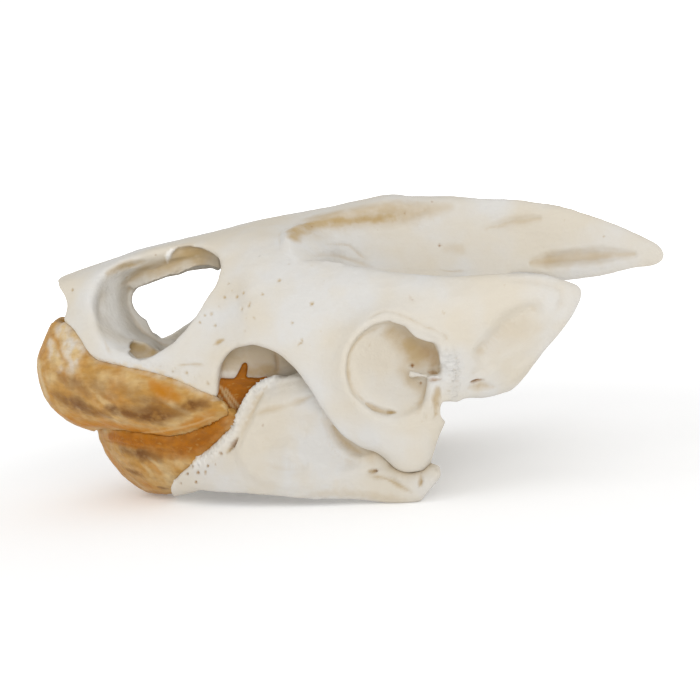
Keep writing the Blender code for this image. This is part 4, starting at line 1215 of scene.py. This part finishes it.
def jaw_rim():
    """Return the front edge of the jaw's upright part, on both sides."""
    return pair(plate([
        (46.3, 22.1), (44.8, 21.2), (43.3, 20.1), (42.6, 18.9), (42.2, 17.6), (41.2, 16.3), (40.6, 14.7),
        (43.2, 14.0), (46.6, 15.9), (49.8, 19.3), (51.1, 21.7), (49.4, 22.7), (47.6, 22.6),
    ], -21.2, 1.2))


def jaw_corner():
    """Return the cutter that slants the jaw's rear end, on both sides."""
    return pair(plate([(79.5, 4.0), (80.9, 2.9), (80.9, -3.3), (74.3, -3.3), (75.5, -1.0)], -30.0, 10.0))


class SKULL_OT_jaw(bpy.types.Operator):
    """Make the lower jaw"""

    bl_idname = "skull.jaw"
    bl_label = "Lower jaw"

    def execute(self, context):
        shape = context.scene.skull_shape
        jaw = node_copy("lower_jaw", ("mandible",))
        combine(jaw, jaw_corner(), "DIFFERENCE")
        combine(jaw, jaw_rim(), "UNION")
        voxel_skin(jaw, shape.voxel)
        relax(jaw, shape.smoothing)
        keep_largest(jaw)
        clay = Clay(jaw)
        sculpt_jaw(clay)
        clay.write()
        finish_piece(jaw, bone_material("jaw_bone", warmth=0.8), "jaw_bone", "mandible")
        return {"FINISHED"}


# The horn inside the cheek lies behind the one and within the other of these

INNER_HORN_FRONT = 37.4
INNER_HORN_SIDE = 19.6


def inner_horn():
    """Return the horn's rear end inside the cheek, on both sides."""
    return pair(plate([
        (36.5, 22.1), (38.8, 22.1), (40.5, 22.1), (41.2, 23.2), (41.8, 24.4), (42.2, 25.2), (42.6, 25.1),
        (42.6, 24.0), (42.4, 23.0), (42.3, 22.2), (44.4, 22.1), (46.3, 22.4), (47.0, 21.6), (45.5, 19.3),
        (43.6, 17.2), (42.5, 15.3), (40.6, 13.4), (38.7, 13.4), (36.1, 15.1), (35.5, 18.1), (35.7, 20.8),
    ], -18.4, 0.8))


def sculpt_upper_beak(clay):
    """Work the upper sheath: an outer layer whose edge stands proud of a clear inner one, a painted highlight
    along the lip, and painted shade on the horn inside the cheek.
    """
    clay.stroke([
        (7.2, 15.9), (9.4, 14.5), (12.0, 13.6), (17.1, 13.4), (22.5, 12.3), (27.2, 12.0), (31.5, 13.2),
        (34.9, 14.9), (36.5, 16.2),
    ], 1.6, 0.15, honey=1.0)
    # A painted highlight: a thin straw line along the lip.
    clay.mark_even_band([
        (14.2, 12.5), (16.9, 12.3), (20.2, 12.1), (24.4, 12.1), (28.5, 12.6), (32.3, 13.5), (36.1, 14.9),
    ], 0.35, scratch=0.45)
    clay.paint(
        "smoke",
        (0.6, 3.2, (7.7, 22.3), (9.1, 21.9), (11.4, 20.8), (12.8, 19.3)),
        (0.95, 3.0, (6.5, 19.3), (8.7, 18.0), (11.3, 17.0), (13.5, 16.1), (16.5, 15.1)),
        (0.9, 4.0, (19.6, 16.1), (23.3, 15.5), (26.7, 15.7), (30.8, 16.1)),
        (1.2, 2.2, (20.7, 15.3), (23.3, 14.9), (26.7, 15.1), (29.7, 15.5)),
        (0.6, 2.6, (21.6, 18.1), (25.4, 17.8), (27.8, 17.0)),
        (1.0, 2.6, (30.5, 16.6), (32.3, 17.2), (35.0, 17.2)),
        (0.4, 3.6, (12.5, 21.9), (15.5, 20.0), (17.7, 18.5)),
        (0.35, 3.2, (17.4, 21.2), (20.4, 19.7), (22.6, 18.9)),
    )
    clay.mark_even_band([(16.9, 16.4), (19.2, 15.9), (21.8, 15.1), (24.4, 14.7)], 1.7, smoke=0.9)
    clay.paint(
        "honey",
        (1.0, 3.0, (25.1, 21.2), (26.7, 19.7), (29.7, 18.7)),
        (0.7, 1.4, (4.2, 18.9), (6.4, 16.2), (10.1, 14.2)),
    )
    clay.paint(
        "straw",
        (0.7, 0.9, (25.7, 19.3), (27.8, 17.8), (30.4, 16.2), (32.3, 15.5)),
        (0.7, 1.2, (14.6, 18.9), (17.3, 16.6), (19.9, 14.2)),
        (0.6, 1.6, (29.8, 21.4), (32.6, 20.0), (35.0, 18.5)),
        (0.8, 1.8, (3.8, 25.3), (4.1, 21.9), (5.3, 18.9)),
    )
    clay.stroke([(7.8, 31.7), (9.3, 29.1), (10.3, 26.5), (9.9, 24.6)], 5.0, 0.0, straw=1.0, chalk=1.0)
    clay.stroke([(5.9, 29.1), (6.6, 26.8), (7.7, 24.6)], 3.6, 0.0, straw=0.9, chalk=0.7)
    # Painted shade: the horn inside the cheek's notch takes the deep colour.
    inside = (np.abs(clay.unworked[:, 1]) < INNER_HORN_SIDE) & (clay.unworked[:, 0] > INNER_HORN_FRONT)
    clay.mark("deep", np.flatnonzero(inside), 1.0)
    clay.mark_even_band([(42.3, 25.0), (42.1, 23.6), (41.6, 21.9), (41.6, 19.7), (41.0, 17.4)], 0.9, honey=0.9)
    scratches = (
        [(37.7, 20.7), (38.9, 18.7), (40.0, 17.0)], [(38.2, 19.7), (39.3, 17.8), (40.4, 16.4)],
        [(38.7, 20.2), (39.9, 18.5), (41.1, 16.9)], [(37.4, 18.9), (38.3, 17.6), (39.3, 16.1)],
        [(38.0, 17.2), (39.3, 16.1), (40.8, 15.9)],
    )
    for places in scratches:
        clay.mark_even_band(places, 0.33, scratch=0.75)
    bone = piece_tree("cranium")
    clay.marks["bony"] = (clay.closeness(node_tree("face"), reach=1.7) - 0.1) * ~inside
    clay.unevenness(height=0.1, grain=2.0)
    clay.fill_seam(bone, reach=1.1, height=0.25)
    clay.lean_on(bone, reach=1.0, overlap=0.15, where=~inside)


def sculpt_lower_beak(clay):
    """Work the lower sheath: clear at its upper edge and in painted shade there below the upper sheath's lip,
    smoky and worn below, and pale next to the bone.
    """
    clay.stroke([
        (15.7, 11.3), (19.7, 10.9), (24.4, 10.2), (28.5, 9.8), (32.8, 10.9), (36.6, 13.2), (39.1, 15.3),
    ], 1.6, 0.15, honey=1.1)
    # Painted shade: the clear upper edge takes the deep colour below the upper sheath's lip.
    clay.stroke([
        (16.1, 10.3), (19.6, 9.7), (24.3, 8.8), (29.0, 8.3), (33.4, 9.6), (37.2, 12.3), (39.8, 14.5),
    ], 0.5, -0.3, deep=0.8)
    clay.paint("deep", (0.95, 3.0, (24.3, 8.8), (29.0, 8.6), (33.4, 10.3), (36.6, 12.3), (39.4, 14.3)))
    clay.mark_even_band([
        (17.2, 11.0), (20.6, 10.4), (24.4, 10.2), (28.5, 10.4), (32.3, 11.5), (35.7, 13.1), (38.7, 14.7),
    ], 1.5, deep=0.75)
    clay.paint(
        "smoke",
        (0.6, 1.6, (30.9, 9.0), (33.8, 10.5), (36.6, 12.3)),
        (1.0, 3.2, (19.1, 8.8), (22.4, 8.1), (26.2, 7.3)),
        (0.8, 1.6, (20.1, 4.8), (22.8, 3.8)),
        (0.7, 1.2, (25.8, 1.5), (27.6, 1.2)),
    )
    clay.paint(
        "honey",
        (0.8, 2.2, (15.7, 9.4), (17.5, 6.3), (19.4, 4.0)),
        (0.5, 1.2, (21.3, 3.3), (23.5, 1.9), (25.8, 1.4)),
    )
    clay.paint(
        "straw",
        (0.95, 2.6, (26.2, 5.8), (27.7, 4.0), (28.0, 2.1)),
        (0.7, 0.7, (22.4, 6.3), (24.3, 4.4), (25.4, 2.5)),
        (0.8, 0.5, (23.6, 7.5), (25.4, 6.0), (26.9, 4.0)),
    )
    bone = piece_tree("lower_jaw")
    clay.marks["bony"] = clay.closeness(bone, reach=0.8)
    clay.unevenness(height=0.1, grain=1.6)
    clay.lean_on(bone, reach=1.0, overlap=0.15)
    clay.lean_on(piece_tree("upper_beak_sheath"), reach=0.9, overlap=-0.04)


BEAKS = {"upper_beak": sculpt_upper_beak, "lower_beak": sculpt_lower_beak}


class SKULL_OT_beak(bpy.types.Operator):
    """Make the two sheaths of the beak"""

    bl_idname = "skull.beak"
    bl_label = "Beak"

    def execute(self, context):
        shape = context.scene.skull_shape
        horn = horn_material("beak_horn")
        for sheath, sculpt in BEAKS.items():
            thing = node_copy(f"{sheath}_sheath", (sheath,))
            voxel_skin(thing, shape.horn_voxel)
            relax(thing, shape.smoothing)
            if sheath == "upper_beak":
                combine(thing, inner_horn(), "UNION")
                voxel_skin(thing, shape.horn_voxel)
                relax(thing, rounds=3)
            keep_largest(thing)
            clay = Clay(thing)
            sculpt(clay)
            clay.write()
            finish_piece(thing, horn, "beak_horn", sheath)
        return {"FINISHED"}


# The stage, in metres: how far off the floor's glow starts and is full, and where the lights hang

FLOOR_WHITE = 0.93
GLOW_STARTS, GLOW_FULL = 0.08, 0.5
KEY_PLACE, KEY_SIZE = (-0.25, -0.1, 0.7), 0.5
FILL_PLACE, FILL_SIZE = (0.12, -0.75, 0.32), 0.6
LIGHT_AIM = Vector((0.0, 0.0, 0.02))
LIGHT_COLOUR = (1.0, 0.99, 0.9801)


def area_light(name, place, size, power):
    """Add a soft square light at a place of the model, in metres, that points at the skull."""
    data = bpy.data.lights.new(name, "AREA")
    data.shape = "SQUARE"
    data.size = size
    data.energy = power
    data.color = LIGHT_COLOUR
    lamp = placed(name, data)
    lamp.location = place
    lamp.rotation_euler = (LIGHT_AIM - Vector(place)).to_track_quat("-Z", "Y").to_euler()


class SKULL_OT_stage(bpy.types.Operator):
    """Set the floor, the lights and the camera"""

    bl_idname = "skull.stage"
    bl_label = "Stage"

    def execute(self, context):
        stage = context.scene.skull_stage
        half = stage.floor_size / 2
        corners = [(-half, -half, 0), (half, -half, 0), (half, half, 0), (-half, half, 0)]
        mesh = bpy.data.meshes.new("floor")
        mesh.from_pydata(corners, [], [(0, 1, 2, 3)])
        floor = placed("floor", mesh)
        made, tree, shader = new_material("floor_white", roughness=0.9, specular=0.0)
        shader.inputs["Base Color"].default_value = (FLOOR_WHITE, FLOOR_WHITE, FLOOR_WHITE, 1.0)
        place = node(tree, "ShaderNodeTexCoord").outputs["Object"]
        away = node(tree, "ShaderNodeVectorMath", [(0, place)], operation="LENGTH").outputs["Value"]
        glow = ramped(tree, away, GLOW_STARTS, GLOW_FULL, 1.0, stage.floor_glow)
        tree.links.new(glow, shader.inputs["Emission Color"])
        shader.inputs["Emission Strength"].default_value = 1.0
        mesh.materials.append(made)

        area_light("key", KEY_PLACE, KEY_SIZE, stage.key_power)
        area_light("fill", FILL_PLACE, FILL_SIZE, stage.fill_power)

        world = bpy.data.worlds.new("sky")
        world.use_nodes = True
        tree = world.node_tree
        seen = node(tree, "ShaderNodeLightPath").outputs["Is Camera Ray"]
        sky = tree.nodes["Background"]
        sky.inputs["Color"].default_value = (1.0, 1.0, 1.0, 1.0)
        tree.links.new(ramped(tree, seen, 0.0, 1.0, stage.backdrop, stage.sky), sky.inputs["Strength"])
        context.scene.world = world

        data = bpy.data.cameras.new("camera")
        data.lens = FOCAL_LENGTH
        data.sensor_width = SENSOR_WIDTH
        data.clip_start = 0.01
        camera = placed("camera", data)
        side = Vector((1.0, 0.0, 0.0))
        turn = TURN @ Matrix((side, side.cross(EYE_LINE), -EYE_LINE)).transposed()
        camera.matrix_world = turn.to_4x4()
        camera.location = Vector(to_model(np.array(EYE)[None, :])[0])
        context.scene.camera = camera
        context.scene.view_settings.view_transform = "Standard"
        return {"FINISHED"}


class SKULL_PT_panel(bpy.types.Panel):
    """Lists the steps and their settings"""

    bl_label = "Turtle Skull"
    bl_idname = "SKULL_PT_panel"
    bl_space_type = "VIEW_3D"
    bl_region_type = "UI"
    bl_category = "Skull"

    def draw(self, context):
        layout = self.layout
        for name in SETTINGS:
            held = getattr(context.scene, name)
            box = layout.box()
            for key in held.__annotations__:
                box.prop(held, key)
        for step in STEPS:
            layout.operator(step.bl_idname)


STEPS = (SKULL_OT_cranium, SKULL_OT_jaw, SKULL_OT_beak, SKULL_OT_stage)
SETTINGS = {
    "skull_shape": SkullShapeSettings,
    "skull_finish": SkullFinishSettings,
    "skull_stage": SkullStageSettings,
}


def register():
    """Register the settings, the steps and the panel."""
    for name, kind in SETTINGS.items():
        bpy.utils.register_class(kind)
        setattr(bpy.types.Scene, name, PointerProperty(type=kind))
    for kind in (*STEPS, SKULL_PT_panel):
        bpy.utils.register_class(kind)


def unregister():
    """Take them all out again."""
    for kind in (SKULL_PT_panel, *reversed(STEPS)):
        bpy.utils.unregister_class(kind)
    for name, kind in SETTINGS.items():
        delattr(bpy.types.Scene, name)
        bpy.utils.unregister_class(kind)


def main():
    """Make every piece and the stage."""
    register()
    for step in STEPS:
        family, action = step.bl_idname.split(".")
        getattr(getattr(bpy.ops, family), action)()
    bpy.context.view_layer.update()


if __name__ == "__main__":
    main()
